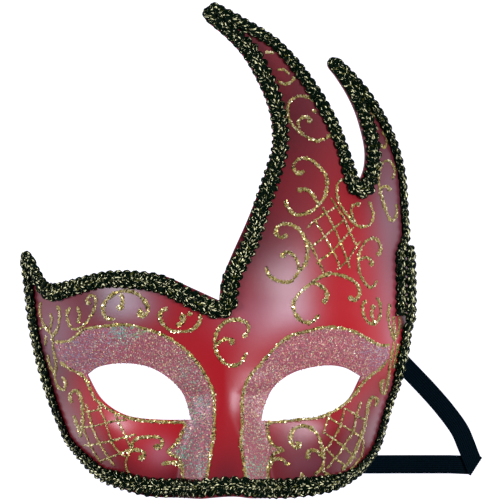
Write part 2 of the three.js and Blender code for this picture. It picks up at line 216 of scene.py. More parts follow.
@dataclass(frozen=True)
class ShellForm:
    """The form of the mask's outer face: its height over the table anywhere in plan."""

    axis_x: float = 2.8
    eye_line_y: float = -61.3
    forehead: float = 52.0
    thickness: float = 1.4
    left_side: Points = ((-52, 60.0), (-36, 64.6), (-19, 69.3), (-5, 75.1), (8, 79.6), (27, 83.8),
                         (44, 86.0), (60, 87.5))
    right_side: Points = ((-52, 60.0), (-26, 66.5), (-14, 69.0), (1, 74.1), (8, 79.0), (13, 80.6),
                          (18, 80.8), (24, 79.6), (40, 79.7), (58, 79.4), (83, 77.9), (110, 76.7))
    left_flare: float = 1.12
    right_flare: float = 1.07
    crest_from: float = 40
    crest_over: float = 119
    crest_share: float = 0.72
    cheek_from: float = 12
    cheek_over: float = 45
    cheek_share: float = 0.05
    square_from: float = 11
    square_over: float = 26.5
    square_growth: float = 0.6
    nose_top: float = 34
    nose_length: float = 78
    nose_rise: float = 16.4
    nose_power: float = 2.0
    ridge: float = 1.0
    ridge_growth: float = 8.2
    ridge_from: float = 0.49
    ridge_over: float = 0.3
    foot: float = 9.6
    foot_growth: float = 12.5
    bridge: float = 20
    bridge_from: float = 0.33
    bridge_over: float = 0.12
    socket: Swelling = Swelling(38, 0, 27, 16, -3)
    cheek: Swelling = Swelling(55, -19, 18, 14, 2.6)
    brow_across: float = 38
    brow_up: float = 31
    brow_droop: float = 0.01
    brow_tall: float = 13
    brow_rise: float = 0.9
    relief_fade: float = 0.4
    slope_step: float = 0.05

    @staticmethod
    def half_width(rows: Points, up: np.ndarray) -> np.ndarray:
        """Half width of the shell on the table, on a smooth curve through a side's rows.

        Args:
            rows: height over the eye line and half width there.
            up: heights over the eye line.

        Returns:
            The half width at each height.
        """
        ups, outs = np.asarray(rows, float).T
        last = len(ups) - 1
        row = np.arange(len(ups))
        before, after = np.maximum(row - 1, 0), np.minimum(row + 1, last)
        slopes = (outs[after] - outs[before]) / (ups[after] - ups[before])
        at = np.clip(up, ups[0], ups[-1])
        i = np.clip(np.searchsorted(ups, at) - 1, 0, last - 1)
        span = ups[i + 1] - ups[i]
        t = (at - ups[i]) / span
        bend0 = (t ** 3 - 2 * t ** 2 + t) * span * slopes[i]
        bend1 = (t ** 3 - t ** 2) * span * slopes[i + 1]
        return outs[i] + (outs[i + 1] - outs[i]) * ease(t) + bend0 + bend1

    def height(self, x: np.ndarray, y: np.ndarray) -> np.ndarray:
        """Height of the outer face over the table.

        Args:
            x: places across, in plan.
            y: places up towards the crest, in plan.

        Returns:
            The height at each place: an arch over both sides, with the nose and soft swellings on it.
        """
        side = np.asarray(x, float) - self.axis_x
        across = np.abs(side)
        up = np.asarray(y, float) - self.eye_line_y
        left = side < 0
        sides = (self.half_width(rows, up) for rows in (self.left_side, self.right_side))
        out = across / np.where(left, *sides)
        flare = np.where(left, self.left_flare, self.right_flare)
        cut = np.sqrt(1 - 1 / flare ** 2)
        square = 1 + self.square_growth * ease((self.square_from - up) / self.square_over)
        bow = (np.sqrt(np.maximum(1 - (out ** square / flare) ** 2, 0)) - cut) / (1 - cut)
        arch = np.where(out < 1, bow, (1 - out) * square / (flare ** 2 * cut * (1 - cut)))
        lean = (1 - self.crest_share * ease((up - self.crest_from) / self.crest_over)
                - self.cheek_share * ease((-self.cheek_from - up) / self.cheek_over))
        down = np.clip((self.nose_top - up) / self.nose_length, 0, 1)
        ridge = self.ridge + self.ridge_growth * ease((down - self.ridge_from) / self.ridge_over)
        foot = (self.foot + self.foot_growth * down
                + self.bridge * (1 - ease((down - self.bridge_from) / self.bridge_over)))
        nose = self.nose_rise * down ** self.nose_power * (1 - ease((across - ridge) / (foot - ridge)))
        brow_line = self.brow_up - self.brow_droop * (across - self.brow_across) ** 2
        brow = self.brow_rise * np.exp(-((up - brow_line) / self.brow_tall) ** 2)
        soft = self.socket.at(across, up) + self.cheek.at(across, up) + brow
        return self.forehead * arch * lean + nose + soft * ease(arch / self.relief_fade)

    def normal(self, x: np.ndarray, y: np.ndarray) -> np.ndarray:
        """Unit normals of the outer face.

        Args:
            x: places across, in plan.
            y: places up towards the crest, in plan.

        Returns:
            The normal at each place.
        """
        d = self.slope_step
        slope_x = (self.height(x + d, y) - self.height(x - d, y)) / (2 * d)
        slope_y = (self.height(x, y + d) - self.height(x, y - d)) / (2 * d)
        return unit(np.stack([-slope_x, -slope_y, np.ones_like(slope_x)], axis=-1))

    def over(self, x: np.ndarray, y: np.ndarray, distance: np.ndarray | float) -> np.ndarray:
        """Places at a distance from the outer face, along its normals."""
        base = np.stack([x, y, self.height(x, y)], axis=-1)
        return base + self.normal(x, y) * np.asarray(distance)[..., None]


@dataclass(frozen=True)
class PhotoView:
    """The camera over the mask, looking straight down with the crest at the top."""

    x: float = 13.588
    y: float = -0.215
    height: float = 2400.0
    focal_px: float = 5546.5
    half_frame: float = 250.0
    sensor: float = 36.0
    clip_end: float = 20.0
    rounds: int = 6

    def to_plan(self, points: Points, form: ShellForm) -> np.ndarray:
        """Places on the shell that points of the picture show.

        Args:
            points: points of the picture, in pixels.
            form: the shell's form.

        Returns:
            The places in plan, which settle in a few rounds.
        """
        p = np.asarray(points, float)
        plan = np.zeros_like(p)
        for _ in range(self.rounds):
            depth = self.height - form.height(plan[:, 0], plan[:, 1])
            plan = np.stack([self.x + (p[:, 0] - self.half_frame) * depth / self.focal_px,
                             self.y - (p[:, 1] - self.half_frame) * depth / self.focal_px], axis=1)
        return plan

    def build(self) -> bpy.types.Object:
        """Makes the camera, through which the scene is seen.

        Returns:
            The camera.
        """
        data = bpy.data.cameras.new("photo_camera")
        data.sensor_width = self.sensor
        data.lens = self.sensor * self.focal_px / (2 * self.half_frame)
        data.clip_end = self.clip_end
        camera = bpy.data.objects.new("photo_camera", data)
        camera.location = (self.x * MM, self.y * MM, self.height * MM)
        bpy.context.scene.collection.objects.link(camera)
        bpy.context.scene.camera = camera
        return camera


@dataclass(frozen=True)
class Rim:
    """Outline of the shell in plan, clockwise from the right temple, and its eye holes."""

    edges: Sequence[Points] = (
        # right temple
        ((81.4, 10), (82.3, -3.5), (82.5, -22), (82, -38.5), (80.3, -47.5), (76.9, -60.2), (71.9, -75.3),
         (67.7, -86.8), (60.3, -96.3)),
        # lower edge
        ((60.3, -96.3), (52, -101.4), (42, -104.1), (27.5, -105.5), (16.5, -104.9), (6, -103.8),
         (-11, -105), (-26.5, -105.1), (-37.2, -103.1), (-49.6, -98.7), (-57.8, -91.2)),
        # left temple and tip
        ((-57.8, -91.2), (-66.4, -80.6), (-72.4, -66.9), (-77.2, -53.9), (-81.2, -34.7), (-83.6, -17.6),
         (-85, -9.5), (-84.7, -5.2), (-82.7, -3.2), (-80.5, -4)),
        # brow
        ((-80.5, -4), (-78, -10), (-74, -14.5), (-69.5, -15.5), (-62, -13.5), (-48.5, -10), (-35.5, -9.5),
         (-22.9, -11.1), (-11.8, -15.9), (0.5, -21.5)),
        # crest, inner side
        ((0.5, -21.5), (1.5, -13.5), (5.5, -3), (13, 14), (20.5, 34), (23.5, 46.5), (21.1, 62.6),
         (12.7, 80.1), (4.5, 90), (-5, 98)),
        # crest tip
        ((-5, 98), (-6.7, 101.3), (-4.8, 104.4), (-1.3, 106)),
        # crest, outer side
        ((-1.3, 106), (9.9, 100), (25.8, 89.9), (38.6, 75.4), (49.9, 58), (55.8, 41.9), (60.5, 29)),
        # second horn, inner side
        ((60.5, 29), (63, 36), (63, 45), (59.5, 58), (55, 67.5), (50, 75.2)),
        # second horn tip
        ((50, 75.2), (47, 79.2), (48, 82), (51.2, 82.3)),
        # second horn, outer side
        ((51.2, 82.3), (59.9, 73.8), (67.6, 63.7), (74.3, 51), (78.8, 36.3), (80.8, 21.6), (81.4, 10)),
    )
    left_eye: Sequence[Points] = (
        ((-56.5, -53.5), (-50.5, -50), (-40, -48.5), (-29.5, -50), (-20.5, -55), (-14.5, -62),
         (-11.5, -72)),
        ((-11.5, -72), (-24.5, -72), (-36, -71), (-44, -68), (-51, -62.5), (-56.5, -53.5)),
    )
    right_eye: Sequence[Points] = (
        ((18.5, -72.5), (20, -65.5), (24.5, -57.5), (33, -52), (45, -49.5), (54, -50.5), (61.5, -54.5)),
        ((61.5, -54.5), (57, -62.5), (50.5, -68.5), (41, -71.5), (30.5, -72.5), (18.5, -72.5)),
    )

    @staticmethod
    def loop(edges: Sequence[Points], spacing: float) -> np.ndarray:
        """Closed loop through edges, evenly spaced along each, without its last point."""
        return np.vstack([even_line(smooth_line(edge), spacing)[:-1] for edge in edges])


def make_object(name: str, mesh: bpy.types.Mesh, material: bpy.types.Material, slot: Slot,
                smooth: bool = True) -> bpy.types.Object:
    """Puts a mesh into the scene as a piece of the mask.

    Args:
        name: the piece's name.
        mesh: its mesh, in metres in the part's frame.
        material: its finish.
        slot: the record's slot; not used.
        smooth: shade its faces smooth.

    Returns:
        The piece, which rides on the mask.
    """
    mesh.polygons.foreach_set("use_smooth", np.full(len(mesh.polygons), smooth))
    mesh.materials.append(material)
    piece = bpy.data.objects.new(name, mesh)
    bpy.context.scene.collection.objects.link(piece)
    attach(piece, BODY)
    LOG.info("%s: %d faces", name, len(mesh.polygons))
    return piece


def joined_mesh(name: str, points: np.ndarray, faces: np.ndarray) -> bpy.types.Mesh:
    """Mesh of many like faces from arrays.

    Args:
        name: the mesh's name.
        points: corners in millimetres.
        faces: corner numbers, one row for each face.

    Returns:
        The mesh, in metres.
    """
    mesh = bpy.data.meshes.new(name)
    sides = faces.shape[1]
    mesh.vertices.add(len(points))
    mesh.vertices.foreach_set("co", (points * MM).astype(np.float32).ravel())
    mesh.loops.add(faces.size)
    mesh.loops.foreach_set("vertex_index", faces.astype(np.int32).ravel())
    mesh.polygons.add(len(faces))
    mesh.polygons.foreach_set("loop_start", np.arange(0, faces.size, sides, dtype=np.int32))
    mesh.update(calc_edges=True)
    return mesh


@dataclass
class Sweep:
    """Gathers rings of points along lines into one mesh of closed tubes."""

    points: list[np.ndarray] = field(default_factory=list)
    faces: list[np.ndarray] = field(default_factory=list)
    ways: list[np.ndarray] = field(default_factory=list)
    count: int = 0

    def add(self, rings: np.ndarray, way: np.ndarray) -> None:
        """Adds one tube.

        Args:
            rings: rings of points, first axis along the tube. Rings turn left seen along the tube.
            way: distance along the tube at each ring.
        """
        middle = rings.mean(axis=1, keepdims=True)
        closed = np.concatenate([np.repeat(middle[:1], rings.shape[1], axis=1), rings,
                                 np.repeat(middle[-1:], rings.shape[1], axis=1)])
        long, size = closed.shape[:2]
        number = self.count + np.arange(long * size).reshape(long, size)
        turned = np.roll(number, -1, axis=1)
        quads = np.stack([number[:-1], number[1:], turned[1:], turned[:-1]], axis=-1).reshape(-1, 4)
        self.points.append(closed.reshape(-1, 3))
        self.faces.append(quads)
        self.ways.append(np.repeat(np.concatenate([way[:1], way, way[-1:]]), size))
        self.count += long * size

    def mesh(self, name: str) -> bpy.types.Mesh:
        """The mesh of all tubes."""
        LOG.info("%s: %d tubes", name, len(self.points))
        return joined_mesh(name, np.vstack(self.points), np.vstack(self.faces))


@dataclass(frozen=True)
class RedLacquer:
    """Moulded polystyrene, sprayed red and shaded dark with an airbrush and with painted shade, under a
    satin-gloss lacquer.

    The lacquer gives broad soft reflections, the airbrush and the painted shade wine-red patches, and
    painted highlights a lilac sheen.
    """

    red: str = "C4161F"
    wine: str = "58121D"
    highlight_lilac: str = "C8AEC0"
    mauve: str = "AC5E6C"
    inner: str = "7C1A1E"
    roughness: float = 0.34
    ior: float = 1.5
    peel_mm: float = 2.4
    peel: float = 0.02

    def build(self) -> bpy.types.Material:
        """Makes the material, which reads the attributes for airbrush and painted shade, for painted
        highlights, for the glitter ground and for the outer side.

        Returns:
            The material.
        """
        material, tree, shader = new_material("red_lacquered_polystyrene")
        shade, painted_highlight, glitter, outer = (
            add_node(tree, "ShaderNodeAttribute", attribute_name=name).outputs["Fac"]
            for name in ("shade", "painted_highlight", "glitter", "outer"))
        paint: Any = linear(self.red)
        # wine-red: airbrush and painted shade; lilac: painted highlights and sheen; mauve: glitter ground
        for amount, colour in ((shade, self.wine), (painted_highlight, self.highlight_lilac), (glitter, self.mauve)):
            paint = add_node(tree, "ShaderNodeMixRGB", {0: amount, 1: paint, 2: linear(colour)}).outputs[0]
        sides = add_node(tree, "ShaderNodeMixRGB", {0: outer, 1: linear(self.inner), 2: paint})
        tree.links.new(sides.outputs[0], shader.inputs["Base Color"])
        place = add_node(tree, "ShaderNodeTexCoord").outputs["Object"]
        peel = add_node(tree, "ShaderNodeTexNoise",
                        {"Vector": place, "Scale": 1 / (self.peel_mm * MM), "Detail": 1.0})
        bump = add_node(tree, "ShaderNodeBump",
                        {"Height": peel.outputs["Fac"], "Strength": self.peel, "Distance": MM})
        tree.links.new(bump.outputs[0], shader.inputs["Normal"])
        shader.inputs["Roughness"].default_value = self.roughness
        shader.inputs["IOR"].default_value = self.ior
        return material


@dataclass(frozen=True)
class GlitterGlue:
    """Clear glue full of gold glitter, squeezed from a tube: an olive-gold bead with grains."""

    colour: str = "C0AE5E"
    deep: str = "6C5E22"
    grain_mm: float = 0.5
    grain_tall_mm: float = 0.3
    grain_bump: float = 0.8
    metallic: float = 0.4
    roughness: float = 0.4

    def build(self) -> bpy.types.Material:
        """Makes the material.

        Returns:
            The material.
        """
        material, tree, shader = new_material("gold_glitter_glue")
        place = add_node(tree, "ShaderNodeTexCoord").outputs["Object"]
        grain = add_node(tree, "ShaderNodeTexVoronoi", {"Vector": place, "Scale": 1 / (self.grain_mm * MM)})
        tint = add_node(tree, "ShaderNodeMixRGB",
                        {0: grain.outputs["Color"], 1: linear(self.deep), 2: linear(self.colour)})
        bump = add_node(tree, "ShaderNodeBump", {"Height": grain.outputs["Distance"],
                                                 "Strength": self.grain_bump,
                                                 "Distance": self.grain_tall_mm * MM})
        tree.links.new(tint.outputs[0], shader.inputs["Base Color"])
        tree.links.new(bump.outputs[0], shader.inputs["Normal"])
        shader.inputs["Metallic"].default_value = self.metallic
        shader.inputs["Roughness"].default_value = self.roughness
        return material


@dataclass(frozen=True)
class FlakeFoil:
    """Cut polyester glitter foil: small flat mirrors, each with its own colour."""

    name: str
    metallic: float
    roughness: float

    def build(self) -> bpy.types.Material:
        """Makes the material, which reads the colour attribute foil.

        Returns:
            The material.
        """
        material, tree, shader = new_material(self.name)
        foil = add_node(tree, "ShaderNodeAttribute", attribute_name="foil")
        tree.links.new(foil.outputs["Color"], shader.inputs["Base Color"])
        shader.inputs["Metallic"].default_value = self.metallic
        shader.inputs["Roughness"].default_value = self.roughness
        return material


@dataclass(frozen=True)
class BraidYarn:
    """Viscose gimp yarn, black with a green cast, with a gold foil thread twisted round it.

    The foil shows as short, uneven dashes along the yarn, from olive to bright gold, the bright tones partly
    painted glints of the foil.
    """

    black: str = "041409"
    olive: str = "5E6024"
    gold: str = "FFFFC4"
    twist_mm: float = 3.3
    uneven_mm: float = 1.6
    uneven: float = 0.8
    patch_mm: float = 2.6
    bare: float = 0.46
    tone_mm: float = 0.9
    tone_range: tuple[float, float] = (0.3, 0.5)
    metal: float = 0.35
    roughness: float = 0.36
    specular: float = 0.03

    def build(self) -> bpy.types.Material:
        """Makes the material, which reads the attributes way, turn and gilt.

        Returns:
            The material.
        """
        material, tree, shader = new_material("black_yarn_with_gold_foil")
        place = add_node(tree, "ShaderNodeTexCoord").outputs["Object"]
        way, turn, gilt = (add_node(tree, "ShaderNodeAttribute", attribute_name=name).outputs["Fac"]
                           for name in ("way", "turn", "gilt"))
        noise = add_node(tree, "ShaderNodeTexNoise",
                         {"Vector": place, "Scale": 1 / (self.uneven_mm * MM), "Detail": 1.0})
        twist = add_node(tree, "ShaderNodeMath", {0: way, 1: 1 / self.twist_mm, 2: turn},
                         operation="MULTIPLY_ADD")
        phase = add_node(tree, "ShaderNodeMath",
                         {0: noise.outputs["Fac"], 1: self.uneven, 2: twist.outputs[0]},
                         operation="MULTIPLY_ADD")
        part = add_node(tree, "ShaderNodeMath", {0: phase.outputs[0]}, operation="FRACT")
        dash = add_node(tree, "ShaderNodeMath", {0: part.outputs[0], 1: gilt}, operation="LESS_THAN")
        patch = add_node(tree, "ShaderNodeTexNoise", {"W": way, "Scale": 1 / self.patch_mm, "Detail": 0.0},
                         noise_dimensions="1D")
        shown = add_node(tree, "ShaderNodeMath", {0: patch.outputs["Fac"], 1: self.bare},
                         operation="GREATER_THAN")
        gold = add_node(tree, "ShaderNodeMath", {0: dash.outputs[0], 1: shown.outputs[0]},
                        operation="MULTIPLY")
        # foil tone, random from cell to cell between olive and bright gold: partly painted glints
        cells = add_node(tree, "ShaderNodeTexVoronoi", {"Vector": place, "Scale": 1 / (self.tone_mm * MM)})
        dull, bright = self.tone_range
        tone = add_node(tree, "ShaderNodeMapRange",
                        {"Value": cells.outputs["Color"], "From Min": dull, "From Max": bright})
        foil = add_node(tree, "ShaderNodeMixRGB",
                        {0: tone.outputs[0], 1: linear(self.olive), 2: linear(self.gold)})
        tint = add_node(tree, "ShaderNodeMixRGB",
                        {0: gold.outputs[0], 1: linear(self.black), 2: foil.outputs[0]})
        tree.links.new(tint.outputs[0], shader.inputs["Base Color"])
        metal = add_node(tree, "ShaderNodeMath", {0: gold.outputs[0], 1: self.metal}, operation="MULTIPLY")
        tree.links.new(metal.outputs[0], shader.inputs["Metallic"])
        shader.inputs["Roughness"].default_value = self.roughness
        shader.inputs["Specular IOR Level"].default_value = self.specular
        return material


@dataclass(frozen=True)
class Elastic:
    """Knitted polyester over rubber, dyed bluish black: matt, with its ribs coloured paler and its grooves
    darker as painted light and shade.
    """

    shaded_groove: str = "000408"
    ridge: str = "04161E"
    knit_mm: float = 0.7
    knit_tall_mm: float = 0.2
    knit_bump: float = 0.25
    roughness: float = 0.8
    specular: float = 0.03

    def build(self) -> bpy.types.Material:
        """Makes the material, which reads the attributes way and rib.

        Returns:
            The material.
        """
        material, tree, shader = new_material("black_knitted_elastic")
        way, rib = (add_node(tree, "ShaderNodeAttribute", attribute_name=name).outputs["Fac"]
                    for name in ("way", "rib"))
        row = add_node(tree, "ShaderNodeMath", {0: way, 1: 2 * math.pi / self.knit_mm}, operation="MULTIPLY")
        wave = add_node(tree, "ShaderNodeMath", {0: row.outputs[0]}, operation="SINE")
        bump = add_node(tree, "ShaderNodeBump", {"Height": wave.outputs[0], "Strength": self.knit_bump,
                                                 "Distance": self.knit_tall_mm * MM})
        tree.links.new(bump.outputs[0], shader.inputs["Normal"])
        # paler ribs and darker grooves: painted light and shade on the ribs
        tint = add_node(tree, "ShaderNodeMixRGB", {0: rib, 1: linear(self.shaded_groove), 2: linear(self.ridge)})
        tree.links.new(tint.outputs[0], shader.inputs["Base Color"])
        shader.inputs["Roughness"].default_value = self.roughness
        shader.inputs["Specular IOR Level"].default_value = self.specular
        return material


def set_values(mesh: bpy.types.Mesh, name: str, values: np.ndarray) -> None:
    """Gives a mesh one number for each vertex."""
    mesh.attributes.new(name, "FLOAT", "POINT").data.foreach_set("value", values.astype(np.float32))


@dataclass(frozen=True)
class Strap:
    """Flat ribbed elastic from the right temple out to a fold and back under the mask to the left temple."""

    width: float = 8.0
    thickness: float = 1.0
    selvedge: float = 0.2
    floor: float = 0.55
    wall_fit: float = 0.5
    ribs: int = 9
    rib_steps: int = 4
    rib_depth: float = 0.16
    step: float = 0.7
    right_end: Points = ((71.5, -19), (72.5, -25.5), (73.5, -32))
    right_drop: Points = ((70.3, -38.5, 8), (73, -43.2, 2.5))
    out: Points = ((77.2, -47), (80.7, -50.5), (86, -56), (90.9, -61.2), (97.6, -68.9), (103.9, -77.5),
                   (106.9, -84.2))
    fold: tuple[float, float] = (110.6, -93.3)
    fold_line: tuple[float, float] = (-0.54, -0.842)
    fold_width: float = 9.4
    fold_overlap: float = 1.35
    fold_steps: int = 8
    back: Points = ((100, -92.9), (80, -92.9), (60, -92.9), (30, -92.4), (5, -91.5), (-12, -89.4),
                    (-34, -84.3), (-51, -75.8), (-59, -67), (-63.5, -58.5))
    left_drop: Points = ((-66, -51, 1.2), (-69, -44, 4))
    left_end: Points = ((-75, -36), (-74.5, -29), (-73.5, -22))

    def wall(self, rows: Points, form: ShellForm) -> tuple[np.ndarray, np.ndarray]:
        """Stretch of the strap that lies on the shell's inner face.

        Args:
            rows: places in plan.
            form: the shell's form.

        Returns:
            The middles and the way that the strap faces at each.
        """
        x, y = np.asarray(rows, float).T
        depth = -(form.thickness + self.wall_fit + self.thickness / 2)
        return form.over(x, y, np.full(len(x), depth)), form.normal(x, y)

    def free(self, rows: Points, heights: np.ndarray | None = None) -> tuple[np.ndarray, np.ndarray]:
        """Stretch of the strap that is clear of the shell, with its face up.

        Args:
            rows: places in plan, or in space.
            heights: heights of places in plan that don't lie on the table.

        Returns:
            The middles and the way that the strap faces at each.
        """
        p = np.asarray(rows, float)
        if p.shape[1] == 2:
            p = np.column_stack([p, np.full(len(p), self.floor) if heights is None else heights])
        return p, np.tile([0.0, 0.0, 1.0], (len(p), 1))

    def stations(self, parts: Sequence[tuple[np.ndarray, np.ndarray]],
                 sign: float) -> tuple[np.ndarray, ...]:
        """Stations along stretches of the strap.

        Args:
            parts: middles and facings of each stretch.
            sign: 1 where the strap's face is up and -1 where it is down.

        Returns:
            Closely spaced middles, half widths across and normals.
        """
        dense, dense_facing = (smooth_line(np.vstack(rows)) for rows in zip(*parts))
        along = way_along(dense)
        ways = np.linspace(0, along[-1], round(along[-1] / self.step) + 1)
        middle = at_ways(dense, ways, along)
        middle[:, 2] = np.maximum(middle[:, 2], self.floor)
        tangent = unit(np.gradient(middle, axis=0))
        across = unit(np.cross(tangent, at_ways(dense_facing, ways, along) * sign)) * self.width / 2
        return middle, across, unit(np.cross(across, tangent))

    def fold_stations(self) -> tuple[np.ndarray, ...]:
        """Stations round the fold, where the strap turns over and goes back under itself.

        Returns:
            Middles, half widths across and normals.
        """
        line = np.array([*self.fold_line, 0.0])
        outward = np.array([-self.fold_line[1], self.fold_line[0], 0.0])
        turn = np.linspace(0, math.pi, self.fold_steps + 1)[:, None]
        normal = np.cos(turn) * [0, 0, 1] + np.sin(turn) * outward
        radius = self.fold_overlap / 2
        middle = np.array([*self.fold, self.floor + radius]) + normal * radius
        return middle, np.tile(line * self.fold_width / 2, (len(turn), 1)), normal

    def build(self, form: ShellForm, material: bpy.types.Material) -> bpy.types.Object:
        """Makes the strap.

        Args:
            form: the shell's form.
            material: the strap's finish.

        Returns:
            The strap.
        """
        rise = ease(2 * np.arange(len(self.out)) / (len(self.out) - 1) - 1)
        outward = self.stations([self.wall(self.right_end, form), self.free(self.right_drop),
                                 self.free(self.out, self.floor + self.fold_overlap * rise)], 1.0)
        inward = self.stations([self.free(self.back), self.free(self.left_drop),
                                self.wall(self.left_end, form)], -1.0)
        middle, across, normal = (np.vstack(group) for group in zip(outward, self.fold_stations(), inward))
        share = np.linspace(-1, 1, self.rib_steps * self.ribs + 1)
        rib = np.abs(np.sin((share + 1) * math.pi * self.ribs / 2))
        half = self.thickness / 2 - self.rib_depth * (1 - rib)
        half[[0, -1]] = self.selvedge
        flat = middle[:, None] + across[:, None] * share[None, :, None]
        thick = normal[:, None] * half[None, :, None]
        sweep = Sweep()
        way = way_along(middle)
        sweep.add(np.concatenate([(flat - thick)[:, ::-1], flat + thick], axis=1)[:, ::-1], way)
        mesh = sweep.mesh("elastic_strap_ribbed")
        set_values(mesh, "way", np.concatenate(sweep.ways))
        set_values(mesh, "rib", np.resize(np.concatenate([rib[::-1], rib])[::-1], len(mesh.vertices)))
        strap = make_object("elastic_strap_ribbed", mesh, material, Slot.STRAP)
        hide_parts("elastic_strap")
        return strap


@dataclass(frozen=True)
class Patch:
    """One soft patch of painted colour: airbrushed wine-red with painted shade, or a painted highlight.

    Its middle and reach are pixels of the picture, its amount is a share and its turn is in degrees.
    """

    x: float
    y: float
    wide: float
    tall: float
    amount: float
    turn: float = 0.0


@dataclass(frozen=True)
class MaskShell:
    """The moulded shell: a fine sheet in the shell's form, given its thickness, with airbrushed wine-red
    paint, painted shade and painted highlights.
    """

    cell: float = 1.05
    clear: float = 0.55
    edge: float = 0.9
    bevel: float = 0.28
    bevel_steps: int = 2
    bevel_from: float = 55.0
    crease: float = 50.0
    weld: float = 1e-6
    # wine-red patches: airbrushed paint, and painted shade where the shell gets less light
    patches: Sequence[Patch] = (
        # crest: its top, its inner side, the horn and the right edge
        Patch(298, 110, 48, 120, 0.97),
        Patch(250, 45, 50, 50, 0.9),
        Patch(350, 95, 36, 50, 0.95),
        Patch(266, 245, 46, 85, 0.88, 20),
        Patch(292, 290, 24, 34, 0.35),
        Patch(238, 240, 12, 40, 0.95, 23),
        Patch(380, 150, 34, 75, 0.95),
        Patch(400, 245, 28, 70, 0.85),
        Patch(390, 195, 16, 36, 0.7),
        Patch(398, 385, 12, 40, 0.4, 20),
        Patch(384, 424, 9, 42, 0.75, 27),
        # left brow and temple
        Patch(110, 300, 75, 50, 1.0),
        Patch(50, 365, 36, 100, 1.0),
        Patch(36, 288, 10, 22, 0.9),
        Patch(198, 291, 30, 6, 0.7, 22),
        # lower rim, from the left
        Patch(62, 410, 22, 50, 0.5, -20),
        Patch(85, 440, 24, 24, 0.4),
        Patch(110, 465, 75, 24, 0.85, 28),
        Patch(172, 482, 24, 22, 0.8),
        Patch(225, 486, 24, 32, 0.85),
        Patch(315, 472, 75, 52, 0.9),
        Patch(362, 432, 60, 24, 0.8, -65),
        Patch(292, 440, 20, 20, 0.3),
        # painted shade: a light darkening over the nose and the left cheek
        Patch(210, 430, 85, 100, 0.35),
    )
    painted_highlights: Sequence[Patch] = (
        # painted highlights and lilac sheen: right temple, left temple, foot of the crest and beside the
        # nose
        Patch(388, 215, 14, 55, 0.16),
        Patch(388, 300, 12, 40, 0.14),
        Patch(391, 335, 7, 14, 0.15),
        Patch(390, 392, 6, 40, 0.12, 22),
        Patch(60, 330, 22, 30, 0.18),
        Patch(135, 305, 25, 14, 0.2),
        Patch(262, 318, 42, 24, 0.2),
        Patch(300, 315, 18, 14, 0.15),
        Patch(160, 452, 14, 14, 0.22),
        Patch(310, 462, 25, 14, 0.08),
    )

    def sheet(self, form: ShellForm, rim: Rim) -> bpy.types.Mesh:
        """The outer face as one open sheet of even triangles inside the outline.

        Args:
            form: the shell's form.
            rim: the shell's outline and eye holes.

        Returns:
            The sheet.
        """
        loops = [rim.loop(edges, self.edge) for edges in (rim.edges, rim.left_eye, rim.right_eye)]
        border = np.vstack(loops)
        low, high = border.min(0), border.max(0)
        rows = np.arange(low[1], high[1], self.cell * math.sqrt(0.75))
        columns = np.arange(low[0], high[0], self.cell)
        x, y = np.meshgrid(columns, rows)
        x = x + (np.arange(len(rows)) % 2)[:, None] * self.cell / 2
        grid = np.column_stack([x.ravel(), y.ravel()])
        grid = grid[self.on_shell(grid, loops)]
        grid = grid[distance_to(grid, border) > self.clear]
        points = np.vstack([border, grid])
        starts = np.cumsum([0] + [len(loop) for loop in loops])
        edges = [(int(start + i), int(start + (i + 1) % len(loop)))
                 for start, loop in zip(starts, loops) for i in range(len(loop))]
        plan, _, triangles, *_ = delaunay_2d_cdt([Vector(p) for p in points], edges, [], 0, self.weld)
        plan = np.array([tuple(p) for p in plan])
        triangles = np.array(triangles)
        triangles = triangles[self.on_shell(plan[triangles].mean(axis=1), loops)]
        heights = np.maximum(form.height(plan[:, 0], plan[:, 1]), 0.0)
        return joined_mesh("mask_sheet", np.column_stack([plan, heights]), triangles)

    @staticmethod
    def on_shell(points: np.ndarray, loops: Sequence[np.ndarray]) -> np.ndarray:
        """Says which points lie inside the rim and outside the eye holes."""
        rim, left, right = loops
        return inside(points, rim) & ~inside(points, left) & ~inside(points, right)

    def solid(self, sheet: bpy.types.Mesh, form: ShellForm) -> bpy.types.Mesh:
        """The sheet with its thickness and softened edges, standing on the table.

        Args:
            sheet: the outer face.
            form: the shell's form.

        Returns:
            The closed mesh.
        """
        holder = bpy.data.objects.new("sheet", sheet)
        bpy.context.scene.collection.objects.link(holder)
        wall = holder.modifiers.new("wall", "SOLIDIFY")
        wall.thickness = form.thickness * MM
        wall.offset = -1
        soft = holder.modifiers.new("soft", "BEVEL")
        soft.width = self.bevel * MM
        soft.segments = self.bevel_steps
        soft.limit_method = "ANGLE"
        soft.angle_limit = math.radians(self.bevel_from)
        bpy.context.view_layer.update()
        graph = bpy.context.evaluated_depsgraph_get()
        mesh = bpy.data.meshes.new_from_object(holder.evaluated_get(graph))
        bpy.data.objects.remove(holder)
        for vertex in mesh.vertices:
            vertex.co.z = max(vertex.co.z, 0.0)
        return mesh

    @staticmethod
    def patch_share(plan: np.ndarray, patches: Sequence[Patch], form: ShellForm, view: PhotoView) -> np.ndarray:
        """How much of a painted colour lies on the shell after soft patches of it: airbrushed paint with
        painted shade, or painted highlights.

        Args:
            plan: places in plan.
            patches: the soft patches.
            form: the shell's form.
            view: the camera that the passes' pixels belong to.

        Returns:
            The share of paint at each place, from 0 to 1.
        """
        bare = np.ones(len(plan))
        for patch in patches:
            centre = view.to_plan([(patch.x, patch.y)], form)[0]
            angle = math.radians(patch.turn)
            dx, dy = ((plan - centre) * view.focal_px / view.height).T
            along = dx * math.cos(angle) - dy * math.sin(angle)
            up = dx * math.sin(angle) + dy * math.cos(angle)
            bare *= 1 - patch.amount * np.exp(-((along / patch.wide) ** 2 + (up / patch.tall) ** 2))
        return 1 - bare

